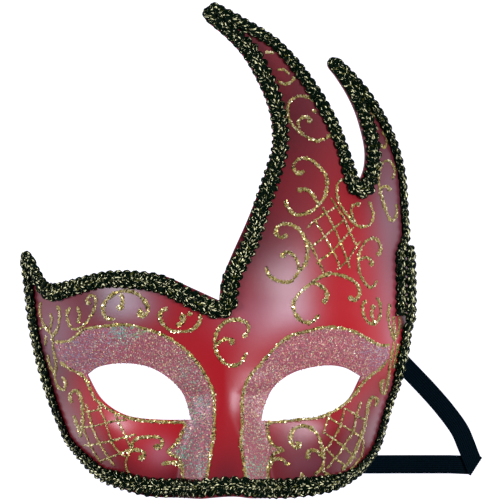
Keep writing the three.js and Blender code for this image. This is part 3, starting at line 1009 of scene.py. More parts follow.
    def paint(self, mesh: bpy.types.Mesh, form: ShellForm, view: PhotoView,
              zones: Sequence[np.ndarray]) -> None:
        """Gives the mesh its airbrushed paint with painted shade, its painted highlights, its glitter ground
        and its outer side as attributes.

        Args:
            mesh: the shell's mesh.
            form: the shell's form.
            view: the camera.
            zones: the glitter zones round the eyes, in plan.
        """
        co = np.zeros(len(mesh.vertices) * 3)
        mesh.vertices.foreach_get("co", co)
        co = co.reshape(-1, 3) / MM
        plan = co[:, :2]
        depth = form.height(plan[:, 0], plan[:, 1]) - co[:, 2]
        ground = np.zeros(len(co))
        for zone in zones:
            ground = np.maximum(ground, inside(plan, zone).astype(float))
        outer = depth < form.thickness / 2
        set_values(mesh, "shade", self.patch_share(plan, self.patches, form, view))
        set_values(mesh, "painted_highlight", self.patch_share(plan, self.painted_highlights, form, view))
        set_values(mesh, "glitter", ground * outer)
        set_values(mesh, "outer", outer.astype(float))

    def build(self, form: ShellForm, rim: Rim, view: PhotoView, zones: Sequence[np.ndarray],
              material: bpy.types.Material) -> bpy.types.Object:
        """Makes the shell, which stands for the CAD shell.

        Args:
            form: the shell's form.
            rim: its outline and eye holes.
            view: the camera.
            zones: the glitter zones round the eyes, in plan.
            material: its finish.

        Returns:
            The shell.
        """
        mesh = self.solid(self.sheet(form, rim), form)
        self.paint(mesh, form, view, zones)
        shell = make_object("mask_shell_lacquered", mesh, material, Slot.SHELL)
        mesh.set_sharp_from_angle(angle=math.radians(self.crease))
        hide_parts("mask_shell")
        return shell


@dataclass(frozen=True)
class YarnPlace:
    """A yarn of a strand: its place across, its rise over the middle, its half width and its gold share."""

    across: float
    rise: float
    wide: float
    gilt: float


@dataclass(frozen=True)
class Braid:
    """Gimp braid round the rim: a flat plait of three strands, a gold chain on it and a dark core."""

    width: float = 8.8
    crown: float = 1.8
    floor: float = 0.6
    fit: float = 0.4
    seam: float = -1.0
    # the lap at the right temple, where one end rises over the other and steps aside
    lap_start: float = 8.5
    lap: float = 30.0
    settle: float = 9.0
    tuck: float = 5.0
    round_end: float = 3.5
    end_share: float = 0.05
    # marks along the rim, and the walk up the shell from each
    mark_spacing: float = 0.25
    mark_reach: float = 1.0
    near: float = 3.0
    walk_step: float = 0.1
    walk: float = 12.0
    walk_out: float = 3.0
    least_walk: float = 0.2
    shares: int = 25
    # the plait's strands and their yarns
    strands: int = 3
    yarns: Sequence[YarnPlace] = (
        YarnPlace(-1.2, -0.3, 0.26, 0.04), YarnPlace(-0.72, 0.02, 0.32, 0.35),
        YarnPlace(-0.23, 0.06, 0.28, 0.08), YarnPlace(0.23, 0.06, 0.28, 0.08),
        YarnPlace(0.72, 0.02, 0.32, 0.35), YarnPlace(1.2, -0.3, 0.26, 0.04))
    yarn_tall: float = 0.36
    yarn_sides: int = 6
    yarn_rest: float = 0.02
    lobe: float = 3.9
    lobe_squeeze: float = 0.7
    weave: float = 0.6
    rings: int = 27
    loose: float = 0.06
    stray_waves: tuple[float, float] = (1.6, 5.0)
    stray_parts: int = 3
    stray_calm: float = 1.7
    twist_spread: float = 50.0
    # two gold yarns that are chained along the middle
    chain: Sequence[YarnPlace] = (YarnPlace(-0.5, 0.62, 0.3, 0.58), YarnPlace(0.5, 0.62, 0.3, 0.58))
    chain_weave: float = 0.3
    chain_rings: int = 8
    # less of the gold shows up the crest
    crest_from: float = 0.0
    crest_over: float = 60.0
    crest_bare: float = 0.4
    # dark cords under the plait
    cores: Sequence[float] = (-2.1, -0.7, 0.7, 2.0)
    core_wide: float = 0.95
    core_tall: float = 0.25
    core_drop: float = 0.75
    core_gilt: float = -1.0
    # places on the rim, how far the braid stands out past the edge there (less than nothing is set in)
    # and how wide it is before it folds over the edge
    places: Sequence[tuple[float, float, float, float]] = (
        (80.5, 8, 0.5, 6.0), (79.8, 2, 0.5, 8.6), (78.5, -27, 0.4, 9.8), (77.5, -45, 0.3, 8.6),
        (76, -60, 0.3, 8.3), (70, -80, 0.0, 10.5), (60, -96, 0.5, 8.8), (30, -105, 0.4, 9.6),
        (6, -103.5, 0.3, 9.0), (-20, -105, 0.1, 9.0), (-37, -102.5, 0.3, 9.4), (-57, -90.5, 0.8, 10.5),
        (-70, -65, 0.3, 9.2), (-78, -40, 0.8, 8.0), (-82.5, -17.5, 0.6, 8.0), (-84, -7, 0.8, 8.8),
        (-81, -4, 3.4, 8.8), (-78, -10, 4.0, 8.8), (-75.5, -13.2, 2.8, 8.8), (-72, -15, 1.5, 8.6),
        (-62, -13.5, 1.0, 7.6), (-50, -10.5, 0.9, 7.5), (-40, -9.5, 0.8, 8.2), (-25, -11.5, 0.6, 8.8),
        (-15, -15, 0.3, 8.8), (-7, -18.3, -0.2, 8.6), (0.5, -21.5, 0.0, 8.6), (3.4, -10.5, 0.6, 8.8),
        (5.5, -3, -0.3, 8.6), (8.6, 4, -1.1, 8.4), (12, 12, -0.3, 8.4), (15, 19.5, 0.5, 8.5),
        (18, 27, 0.9, 8.6), (23.5, 46.5, 1.0, 8.2), (20, 65, 0.9, 8.4), (13, 80, 0.8, 8.6),
        (-5, 98, 0.2, 8.6), (-2, 104.5, 0.6, 8.0), (12, 98, 0.7, 6.2), (24.5, 88.5, 0.6, 5.4),
        (37, 74, 0.7, 6.2), (49, 57.5, 0.1, 6.6), (55, 43, 0.5, 6.2), (60.5, 29, 0.3, 8.8),
        (63, 45, 0.3, 8.0), (57.5, 60, 0.25, 7.6), (50, 75, 0.2, 8.8), (50.5, 81.5, 0.6, 8.0),
        (60, 73, 0.6, 5.8), (66.5, 63, 0.5, 5.2), (74, 42, 0.6, 4.9), (79.5, 21.5, 0.5, 5.4))

    def marks(self, rim: Rim) -> tuple[np.ndarray, np.ndarray, float]:
        """Even marks along the rim.

        Args:
            rim: the shell's outline.

        Returns:
            The marks in plan, the way inward at each, and their spacing.
        """
        line = np.vstack([smooth_line(edge)[:-1] for edge in rim.edges])
        line = np.vstack([line, line[:1]])
        points = even_line(line, self.mark_spacing)[:-1]
        spacing = way_along(line)[-1] / len(points)
        reach = max(1, round(self.mark_reach / spacing))
        along = unit(np.roll(points, -reach, axis=0) - np.roll(points, reach, axis=0))
        return points, np.column_stack([along[:, 1], -along[:, 0]]), spacing

    def rooms(self, points: np.ndarray, inward: np.ndarray, spacing: float) -> np.ndarray:
        """Room from each mark to the middle of the shell there, for the narrow tips.

        Args:
            points: the marks in plan.
            inward: the way inward at each.
            spacing: their spacing.

        Returns:
            The room at each mark.
        """
        count = len(points)
        near = round(self.near / spacing)
        room = np.empty(count)
        for i in range(count):
            to = points - points[i]
            ahead = to @ inward[i]
            away = np.abs((np.arange(count) - i + count // 2) % count - count // 2)
            usable = (ahead > TINY) & (away >= near)
            room[i] = ((to[usable] ** 2).sum(1) / (2 * ahead[usable])).min()
        return room - self.seam

    def sides(self, points: np.ndarray) -> list[np.ndarray]:
        """How the braid sits on the edge.

        Args:
            points: the marks in plan.

        Returns:
            How far it stands out past the edge at each mark, and how wide it is.
        """
        x, y, hang, width = np.array(self.places).T
        places = np.column_stack([x, y])
        at = ((points[None] - places[:, None]) ** 2).sum(2).argmin(1)
        order = np.argsort(at)
        marks = np.arange(len(points))
        return [np.interp(marks, at[order], values[order], period=len(points)) for values in (hang, width)]

    def stations(self, form: ShellForm, rim: Rim) -> tuple[np.ndarray, np.ndarray, np.ndarray]:
        """Rows of places across the braid, one for each mark and once more for the lap.

        Args:
            form: the shell's form.
            rim: the shell's outline.

        Returns:
            Places in plan by station and share of the width, each station's lift over the shell, and the way
            along the braid's middle.
        """
        points, inward, spacing = self.marks(rim)
        count = len(points)
        first, lap, settle = (round(v / spacing) for v in (self.lap_start, self.lap, self.settle))
        room = self.rooms(points, inward, spacing)
        hang, width = self.sides(points)
        i = np.arange(count + lap + 1)
        index = (first + i) % count
        tuck = self.tuck * ease((i - count + settle / 2) / settle)
        on_top = 2 * self.fit + self.crown
        lift = self.fit + (on_top - self.fit) * (1 - ease((i - lap) / settle))
        insets = np.arange(-self.walk_out, self.walk, self.walk_step)
        walk = points[index][:, None, :] + inward[index][:, None, :] * insets[None, :, None]
        height = form.height(walk[..., 0], walk[..., 1])
        start = np.argmax((height >= self.floor) & (insets >= -TINY), axis=1)
        stride = np.hypot(self.walk_step, np.diff(height, axis=1))
        way = np.concatenate([np.zeros((len(i), 1)), np.cumsum(stride, axis=1)], axis=1)
        way = way - np.take_along_axis(way, start[:, None], axis=1)
        share = np.linspace(0, 1, self.shares)
        rows = np.empty((len(i), self.shares, 2))
        for k in range(len(i)):
            usable = insets <= max(room[index[k]], insets[start[k]] + self.least_walk)
            out = tuck[k] - hang[index[k]]
            edge_in = min(way[k][usable][-1], out + width[index[k]])
            edge_out = min(out, edge_in / 2)
            inset = np.interp(edge_out + (edge_in - edge_out) * share, way[k][usable], insets[usable])
            rows[k] = points[index[k]] + inward[index[k]] * inset[:, None]
        middle = rows[:, self.shares // 2]
        middle = np.column_stack([middle, form.height(middle[:, 0], middle[:, 1])])
        return rows, lift, way_along(middle)

    def place(self, u: np.ndarray, v: np.ndarray, w: np.ndarray, form: ShellForm,
              stations: tuple[np.ndarray, ...]) -> tuple[np.ndarray, np.ndarray]:
        """Places of points of the braid.

        Args:
            u: ways along the braid.
            v: ways across from its middle.
            w: ways up from its middle.
            form: the shell's form.
            stations: the braid's stations.

        Returns:
            The places, and the shell's normals there.
        """
        rows, lift, way = stations
        at = np.interp(u, way, np.arange(len(way)))
        low = np.clip(at.astype(int), 0, len(way) - 2)
        part = (at - low)[:, None]
        narrow = np.sqrt(1 - (1 - np.clip(u / self.round_end, self.end_share, 1)) ** 2)
        share = np.clip(0.5 + v * narrow / self.width, 0, 1) * (self.shares - 1)
        left = np.clip(share.astype(int), 0, self.shares - 2)
        side = (share - left)[:, None]
        plan = ((rows[low, left] * (1 - side) + rows[low, left + 1] * side) * (1 - part)
                + (rows[low + 1, left] * (1 - side) + rows[low + 1, left + 1] * side) * part)
        distance = lift[low] * (1 - part[:, 0]) + lift[low + 1] * part[:, 0] + self.crown / 2 + w
        x, y = plan.T
        return form.over(x, y, distance), form.normal(x, y)

    def tube(self, line: np.ndarray, facing: np.ndarray, wide: float, tall: float) -> np.ndarray:
        """Rings of a yarn along a line.

        Args:
            line: the yarn's middle.
            facing: the way up at each point of it.
            wide: the yarn's half width.
            tall: its half height.

        Returns:
            The rings, one for each point.
        """
        tangent = unit(np.gradient(line, axis=0))
        side = unit(np.cross(tangent, facing))
        up = np.cross(side, tangent)
        angle = 2 * math.pi * np.arange(self.yarn_sides) / self.yarn_sides
        ring = (wide * np.cos(angle)[None, :, None] * side[:, None]
                + tall * np.sin(angle)[None, :, None] * up[:, None])
        return (line[:, None] + ring)[:, ::-1]

    def plait(self, length: float) -> Iterable[tuple[int, YarnPlace, np.ndarray, np.ndarray, np.ndarray]]:
        """The way of every yarn of the plait and of the chain.

        Args:
            length: the braid's length.

        Yields:
            The strand's number, the yarn's place in it, and the yarn's ways along, across and up.
        """
        rng = np.random.default_rng(SEED + 2)
        period = self.lobe * self.strands
        sway = self.width / 2 - self.yarns[-1].across - self.yarns[-1].wide
        run = np.linspace(0, 2 * math.pi * length / period, round(length / period * self.rings))
        for strand in range(self.strands):
            turn = run + 2 * math.pi * strand / self.strands
            u = period * run / (2 * math.pi) + self.lobe_squeeze * np.sin(2 * turn)
            v = sway * np.sin(turn)
            w = self.weave * np.sin(2 * turn)
            step_u, step_v = np.gradient(u), np.gradient(v)
            step = np.hypot(step_u, step_v)
            for yarn in self.yarns:
                stray = self.stray(u, rng)
                shift = yarn.across + stray[0]
                yield (strand, yarn, np.clip(u - shift * step_v / step, 0, length),
                       v + shift * step_u / step, w + yarn.rise + stray[1])
        u = np.linspace(0, length, round(length / self.lobe * self.chain_rings))
        for number, yarn in enumerate(self.chain):
            stray = self.stray(u, rng)
            wave = np.sin(2 * math.pi * (u / self.lobe + number / 2))
            yield (self.strands, yarn, u, yarn.across + 2 * stray[0],
                   yarn.rise + self.chain_weave * wave + stray[1])

    def stray(self, u: np.ndarray, rng: np.random.Generator) -> np.ndarray:
        """How far a yarn strays from its place.

        Args:
            u: ways along the yarn.
            rng: the source of chance.

        Returns:
            The stray across and up.
        """
        waves = rng.uniform(*self.stray_waves, (2, self.stray_parts, 1))
        starts = rng.uniform(0, 2 * math.pi, (2, self.stray_parts, 1))
        sway = np.sin(2 * math.pi * u[None, None] / waves + starts).sum(axis=1)
        return self.loose * sway / self.stray_calm

    def build(self, form: ShellForm, rim: Rim, finish: bpy.types.Material) -> list[bpy.types.Object]:
        """Makes the strands, the chain and the core, which stand for the CAD braid.

        Args:
            form: the shell's form.
            rim: the shell's outline.
            finish: the yarn's finish.

        Returns:
            The pieces.
        """
        rng = np.random.default_rng(SEED + 3)
        stations = self.stations(form, rim)
        length = stations[2][-1]
        names = [f"braid_strand_{number + 1}" for number in range(self.strands)]
        names += ["braid_chain", "braid_core"]
        sweeps = [Sweep() for _ in names]
        gilts: list[list[np.ndarray]] = [[] for _ in names]
        for strand, yarn, u, v, w in self.plait(length):
            line, facing = self.place(u, v, w, form, stations)
            moved = np.concatenate([[True], np.linalg.norm(np.diff(line, axis=0), axis=1) > self.yarn_rest])
            line, facing = line[moved], facing[moved]
            sweeps[strand].add(self.tube(line, facing, yarn.wide, self.yarn_tall),
                               way_along(line) + rng.uniform(0, self.twist_spread))
            gilt = yarn.gilt * (1 - self.crest_bare * ease((line[:, 1] - self.crest_from) / self.crest_over))
            gilts[strand].append(np.repeat(np.concatenate([gilt[:1], gilt, gilt[-1:]]), self.yarn_sides))
        u = np.linspace(0, length, round(length))
        for across in self.cores:
            v, w = np.full(len(u), across), np.full(len(u), -self.core_drop)
            line, facing = self.place(u, v, w, form, stations)
            sweeps[-1].add(self.tube(line, facing, self.core_wide, self.core_tall), way_along(line))
            gilts[-1].append(np.full(len(sweeps[-1].ways[-1]), self.core_gilt))
        pieces = []
        for name, sweep, gilt in zip(names, sweeps, gilts):
            mesh = sweep.mesh(name)
            set_values(mesh, "way", np.concatenate(sweep.ways))
            set_values(mesh, "turn", np.arange(len(mesh.vertices)) % self.yarn_sides / self.yarn_sides)
            set_values(mesh, "gilt", np.concatenate(gilt))
            piece = make_object(name, mesh, finish, Slot.BRAID)
            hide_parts("edge_braid")
            pieces.append(piece)
        return pieces


class Line(Enum):
    """Kinds of glue line, by width in millimetres."""

    BORDER = 1.25
    SCROLL = 1.5
    FINE = 1.1
    LATTICE = 0.75


# The middles of the glue lines are points of the picture, in pixels from its upper left corner.

LEFT_UPPER_BORDER: Points = (
    (55, 342), (68.6, 341), (76.5, 335.7), (84.5, 329.3), (98.9, 326.9), (114.8, 325.3), (130.7, 325.3),
    (146.7, 329.3), (164.2, 335.7), (181.8, 346.8), (196, 361.2), (207.3, 378.7), (213.6, 394.7),
    (214.4, 415.4), (212.9, 439.3), (209.7, 460), (206.5, 478))
LEFT_CHEEK_BORDER: Points = (
    (185, 423.4), (181.8, 434.5), (175.4, 444), (168.2, 452), (177, 456.8), (181.8, 463.2), (183.4, 479))
LEFT_LOWER_LID: Points = (
    (60.6, 362), (70, 369), (83, 375.5), (89.3, 386.7), (95.7, 399.4), (108.4, 409), (121.2, 415.4),
    (138.7, 420), (159.4, 421.8), (185, 422.4))
RIGHT_UPPER_BORDER: Points = (
    (389.7, 344.3), (383.4, 345.9), (375.4, 343.5), (364.2, 337), (351.5, 330.7), (337, 327.6),
    (321, 327.6), (306.8, 331.5), (290.9, 335.5), (279.7, 343.5), (268.6, 354.7), (259, 365.8),
    (249.4, 377), (243.8, 389.7), (241.8, 404), (242.3, 423.2), (241, 439.2), (241.5, 447.4),
    (244.4, 466.4), (245.9, 478))
RIGHT_CHEEK_BORDER: Points = (
    (267, 424), (268.5, 437), (274, 446), (283, 450), (275, 453), (270, 460), (268, 470), (267.9, 480))
RIGHT_LOWER_LID: Points = (
    (388.2, 359.3), (380.8, 368), (369, 377), (361.8, 384.3), (354.4, 394.5), (345.6, 403.3), (332.4, 412),
    (316.3, 418), (298.7, 419.5), (281, 421.7), (267, 423))
LEFT_ZONE: Points = (*LEFT_UPPER_BORDER, *LEFT_CHEEK_BORDER[::-1], *LEFT_LOWER_LID[2::-1])
RIGHT_ZONE: Points = (*RIGHT_UPPER_BORDER, *RIGHT_CHEEK_BORDER[::-1], *RIGHT_LOWER_LID[2::-1])

BORDERS: Sequence[Points] = (
    LEFT_UPPER_BORDER, LEFT_CHEEK_BORDER, LEFT_LOWER_LID,
    RIGHT_UPPER_BORDER, RIGHT_CHEEK_BORDER, RIGHT_LOWER_LID)

SCROLLS: Sequence[Points] = (
    # brow, from the left
    ((114.8, 319), (106.8, 318), (102.8, 310), (106, 300.6), (116.4, 292.6), (127.6, 291), (138.7, 295),
     (146.7, 303.8), (147.5, 311.7), (141.9, 317.3), (138.7, 313.3), (141.9, 310)),
    ((121, 294), (122.8, 300.6), (120.4, 308.6), (118, 306)),
    ((165.8, 308.6), (160.2, 313.3), (161, 321.3), (169, 329.3), (180.2, 331.7), (192.9, 329.3),
     (200, 321.3), (200, 316.5)),
    ((177, 326), (183.4, 321.3), (183.4, 315), (181, 318)),
    # middle of the forehead
    ((243, 337), (248.6, 330.7), (246.2, 322.8), (237.5, 319.6), (225.5, 322), (216.7, 332.3), (215, 346.7),
     (220.7, 359.4), (231.9, 365.8), (241.5, 361.8), (246.2, 353)),
    ((216, 345), (223.9, 339.5), (231.9, 339.5), (232.7, 344.3)),
    # crest, from the top
    ((265, 52), (274, 53)),
    ((277.4, 69.6), (285, 70.2), (289.5, 74.7)),
    ((277.4, 80.4), (283.8, 84.2), (291.4, 81.7), (294, 76.6)),
    ((313.8, 101.5), (308, 97.6), (299, 96.4), (290, 101.5), (287.6, 111), (290, 121.2), (296.5, 128.9),
     (304.2, 135.3), (314.4, 140.4), (324.6, 139), (331, 134)),
    ((299, 127.6), (298.4, 121.2), (302.9, 117.4), (309.3, 118), (310, 121.9)),
    ((311.8, 109.7), (316.5, 112.3)),
    ((304.2, 171), (299, 174.2), (294, 169.7), (294.6, 162.7), (301.6, 158.2), (310.6, 160), (319.5, 167),
     (326.5, 177.3), (327, 187.6), (323.3, 199), (315.7, 208), (306.7, 213), (296.5, 215), (288.9, 209.2),
     (285, 200.3)),
    ((299, 190), (306.7, 189.5), (313, 195.2), (318.2, 204)),
    ((286.3, 236), (280, 237.3), (275.5, 232.2), (278.7, 225.8), (287.6, 224), (297.8, 228.4),
     (304.2, 237.3), (307.4, 246.2), (306, 262.2), (298.9, 271.7), (290.9, 281.3), (279.7, 281.3),
     (268.6, 275), (266.2, 267)),
    ((282, 255.8), (286.9, 251.8), (294, 255.8), (298, 263.8), (299, 270)),
    # right of the forehead
    ((318.8, 314.8), (311.6, 322), (303.6, 322), (295.7, 314.8), (293.3, 303.6), (298.9, 294),
     (311.6, 282.9), (324.4, 275), (335.5, 274), (348.3, 278), (357, 284.5), (359.4, 294), (354.7, 300.4),
     (349.9, 297.3)),
    ((312.5, 282.5), (319.5, 285), (326, 290.9), (326.8, 298.9), (323.6, 302)),
    # left cheek
    ((72.5, 402.6), (69.7, 397.8), (72.5, 391.5), (78, 391.5), (81.3, 399.4), (83, 412), (82.6, 425),
     (79.7, 437.7)),
    ((73.7, 415.4), (76.5, 423.4), (79.7, 431)),
    ((130.7, 447.3), (135.5, 439.3), (146.7, 437), (159.4, 437.7), (162.6, 442.5), (157.8, 448.9),
     (155.5, 445.7)),
    ((126, 452), (135.5, 449.7), (143.5, 452), (143.5, 458.4), (140, 458.4)),
    ((161.8, 464), (169, 462.4), (177, 463.2), (181.8, 468)),
    # right cheek
    ((296, 441.5), (300.5, 445.5), (296, 448), (291.5, 443), (290.5, 437), (293, 430), (301.6, 426),
     (310.5, 428), (318, 435), (321.5, 446), (323.6, 456), (322, 468), (314.8, 474.5)),
    ((307.5, 457.5), (308.5, 451.5), (314.6, 450), (320, 454), (323.6, 456)),
    ((287, 464.5), (283, 460), (277, 458.5), (271, 462), (268.5, 468)),
    ((375, 406.5), (377.5, 401), (374, 397), (369.6, 401), (366.7, 415), (364, 428), (360, 440),
     (355.5, 451), (349.5, 461.5), (342, 470)),
    ((301.6, 472.5), (302.5, 480)),
    ((322, 468), (326, 474), (334, 476.5), (341, 474)),
)

FINE_SCROLLS: Sequence[Points] = (
    # left temple: fan and stem
    ((40.7, 302), (39.9, 311.7), (43, 323), (51, 334), (52.6, 337)),
    ((57.4, 305.4), (59.8, 315), (57.4, 329), (52.6, 337)),
    ((50.2, 313), (51.8, 319.7), (49.4, 331)),
    ((39, 329.3), (44.6, 327), (51, 334)),
    ((46.2, 335.7), (45.4, 345.2)),
    ((52.6, 337), (53.4, 348.4), (55.8, 361.2), (55.8, 372.3)),
    ((47.8, 354.8), (50.2, 366), (55, 374), (55, 378.7), (58.2, 386.7), (63.8, 389.9), (65.7, 383.5),
     (63, 377)),
    # left end of the brow
    ((70.2, 307), (67, 315), (70.2, 326), (76.5, 329.3), (86, 323), (94, 310), (95.7, 299), (90.9, 295),
     (86.9, 300.6), (88.5, 304.6)),
    ((77.3, 307), (79.7, 315), (78, 323)),
    # right of the forehead
    ((377.8, 255.8), (380.2, 251), (380.2, 244.6), (374.6, 238.3), (365.8, 241.5), (359.4, 252.6),
     (358.6, 267), (361.8, 278), (370.6, 287.7), (377, 280.5)),
    ((359.4, 260.6), (365.8, 257.4), (371.4, 260.6), (371.4, 265.4)),
    ((365.8, 300.4), (362.6, 306.8), (365, 318), (373, 324.4), (379.4, 318), (380.2, 305.2), (377, 297.3)),
    ((373, 307), (371.5, 313), (372.5, 318.5), (374, 323)),
    # right temple: loops and stem
    ((389.7, 303.6), (388.1, 316.4), (391.3, 332.3), (394.5, 340.3)),
    ((399.3, 316.4), (399.3, 327.6), (394.5, 340.3)),
    ((393.7, 316.4), (394.5, 340.3)),
    ((394.5, 340.3), (392, 353), (389.7, 365.8), (388, 380.2), (385, 392.9), (381.8, 391.3), (381, 383.4),
     (383.4, 380.2)),
    ((398.5, 343.5), (395.3, 359.4), (393, 369)),
    # under the notch
    ((345.6, 178.6), (338.6, 182.4), (336.7, 191.4), (339.3, 202.9), (346.3, 214.3), (355.2, 224.5),
     (364, 227), (371.8, 222), (373, 213), (369.2, 201.6)),
    ((359, 204), (353.3, 205), (351.2, 211), (353, 218), (356, 224)),
    # second horn
    ((392.2, 178.6), (394.7, 171), (391, 162), (384.5, 161.4), (380, 168.4), (378.8, 181.2), (381.4, 195.2),
     (385.8, 210.5), (391.6, 220.7), (396.7, 214.3), (396, 204)),
    ((379.4, 195.2), (382, 187.6), (387, 186.3), (389.6, 190)),
    ((370.5, 112.3), (377.5, 118.7)),
    ((374.3, 127.6), (378.8, 129.5)),
    ((382, 131.4), (386.5, 139), (384.5, 148), (379.4, 144.2)),
)

# drops at the ends of curls: place in the picture in pixels, and radius in millimetres
DROPS: Sequence[tuple[float, float, float]] = (
    (182, 318, 1.2), (190, 314, 1.0), (88.5, 303, 1.0), (121, 307, 1.3), (141, 313, 1.2), (157, 446.5, 1.3),
    (141, 457.5, 1.2), (231.5, 342, 1.1), (300, 173, 1.2), (300, 190, 1.2), (285.5, 236, 1.1),
    (282.5, 255.5, 1.2), (324.5, 301, 1.2), (350.5, 298, 1.2), (371.5, 264, 1.1), (373, 307, 1.1),
    (378.5, 254, 1.0), (309.5, 121, 1.1), (358, 204, 1.0), (389, 189.5, 0.9), (308, 457, 1.1),
    (298, 446.5, 1.1), (287.5, 464, 0.9), (383, 381, 0.9), (200, 317, 0.9), (165.5, 309.5, 0.9),
    (165, 463.5, 1.0))

LATTICE: Sequence[Points] = (
    # crest, falling to the right
    ((313.8, 219.4), (322, 232.2), (328.4, 243.7), (334.8, 255), (340, 267)),
    ((322, 206.7), (329.7, 219.4), (336, 232.2), (342.4, 247.5), (345.6, 256.4), (350, 268.5)),
    ((331, 197.8), (337.3, 208), (345, 220.7), (351.4, 236), (356.5, 245)),
    ((310, 243), (323.6, 272)),
    # crest, rising to the right
    ((306.7, 228.4), (314.4, 220.7), (325.9, 213), (336, 206.7)),
    ((311.8, 246.2), (322, 238.6), (332.2, 229.6), (345, 219.4)),
    ((317, 264), (320.8, 260), (332.2, 251.3), (342.4, 239.8), (353.9, 227)),
    ((337, 270), (347.6, 260), (353.9, 250), (360.3, 241)),
    # left cheek, rising
    ((85.3, 412), (95.7, 410.6), (102, 407.4)),
    ((83, 427.3), (95.7, 425.7), (110, 421.8), (126, 420)),
    ((83, 445.7), (95.7, 444), (110, 441), (135.5, 434.5)),
    ((98.9, 461.6), (111.6, 456.8), (127.6, 450.5), (137, 449)),
    # left cheek, falling
    ((86, 404), (89.3, 415.4), (94, 431.3), (102, 447.3), (114.8, 466.4)),
    ((98, 405.8), (103.6, 417), (108.4, 431.3), (114.8, 447.3), (126, 457)),
    ((114.8, 413.8), (121, 426.5), (127.6, 441), (130.7, 448.9), (126, 461.6), (127.6, 471), (132, 476)),
    ((83, 428), (89, 442.5), (95.7, 455), (102, 463)),
    # right cheek, falling
    ((345, 408), (355.6, 415), (364, 420)),
    ((327, 416.5), (340, 424.5), (353, 431.5), (362.5, 438.5)),
    ((323, 432), (334, 439), (345, 448), (356, 459)),
    ((325, 448), (335, 458), (345, 465.5)),
    # right cheek, rising
    ((361, 401.5), (356.5, 415), (353, 431), (346.5, 441.5), (340.5, 451.5), (334.5, 459), (327, 468)),
    ((344.5, 408), (340.5, 425), (332.5, 439.5), (326, 449)),
    ((328.5, 416), (325.5, 426), (323, 434)),
    ((363.5, 439), (362.5, 452), (358, 461), (350, 470)),
)


@dataclass
class Flakes:
    """A scatter of small square foil flakes."""

    size: tuple[float, float]
    tilt: float
    colours: Sequence[tuple[str, float]]
    tilt_ways: tuple[float, float, float] = (1.0, 1.0, 0.3)
    oblong: tuple[float, float] = (0.7, 1.0)
    corners: list[np.ndarray] = field(default_factory=list)
    tints: list[np.ndarray] = field(default_factory=list)

    def add(self, places: np.ndarray, facing: np.ndarray, rng: np.random.Generator) -> None:
        """Adds a flake at each place, tilted by chance from the way that the surface faces.

        Args:
            places: the flakes' middles.
            facing: the surface's normals there.
            rng: the source of chance.
        """
        count = len(places)
        normal = unit(facing + self.tilt * rng.standard_normal((count, 3)) * self.tilt_ways)
        spin = unit(rng.standard_normal((count, 3)))
        side = unit(np.cross(normal, spin))
        up = np.cross(normal, side)
        half = rng.uniform(*self.size, count)[:, None] / 2
        tall = half * rng.uniform(*self.oblong, count)[:, None]
        side, up = side * half, up * tall
        self.corners.append(np.stack([places - side - up, places + side - up,
                                      places + side + up, places - side + up], axis=1))
        shares = np.array([share for _, share in self.colours])
        pick = rng.choice(len(shares), count, p=shares / shares.sum())
        self.tints.append(np.array([linear(colour) for colour, _ in self.colours])[pick])

    def build(self, name: str, material: bpy.types.Material) -> bpy.types.Object:
        """Makes one mesh of all flakes with their colours.

        Args:
            name: the piece's name.
            material: the foil.

        Returns:
            The piece.
        """
        corners = np.vstack(self.corners)
        mesh = joined_mesh(name, corners.reshape(-1, 3), np.arange(len(corners) * 4).reshape(-1, 4))
        tints = np.repeat(np.vstack(self.tints), 4, axis=0)
        mesh.color_attributes.new("foil", "FLOAT_COLOR", "POINT").data.foreach_set("color", tints.ravel())
        return make_object(name, mesh, material, Slot.SHELL, smooth=False)


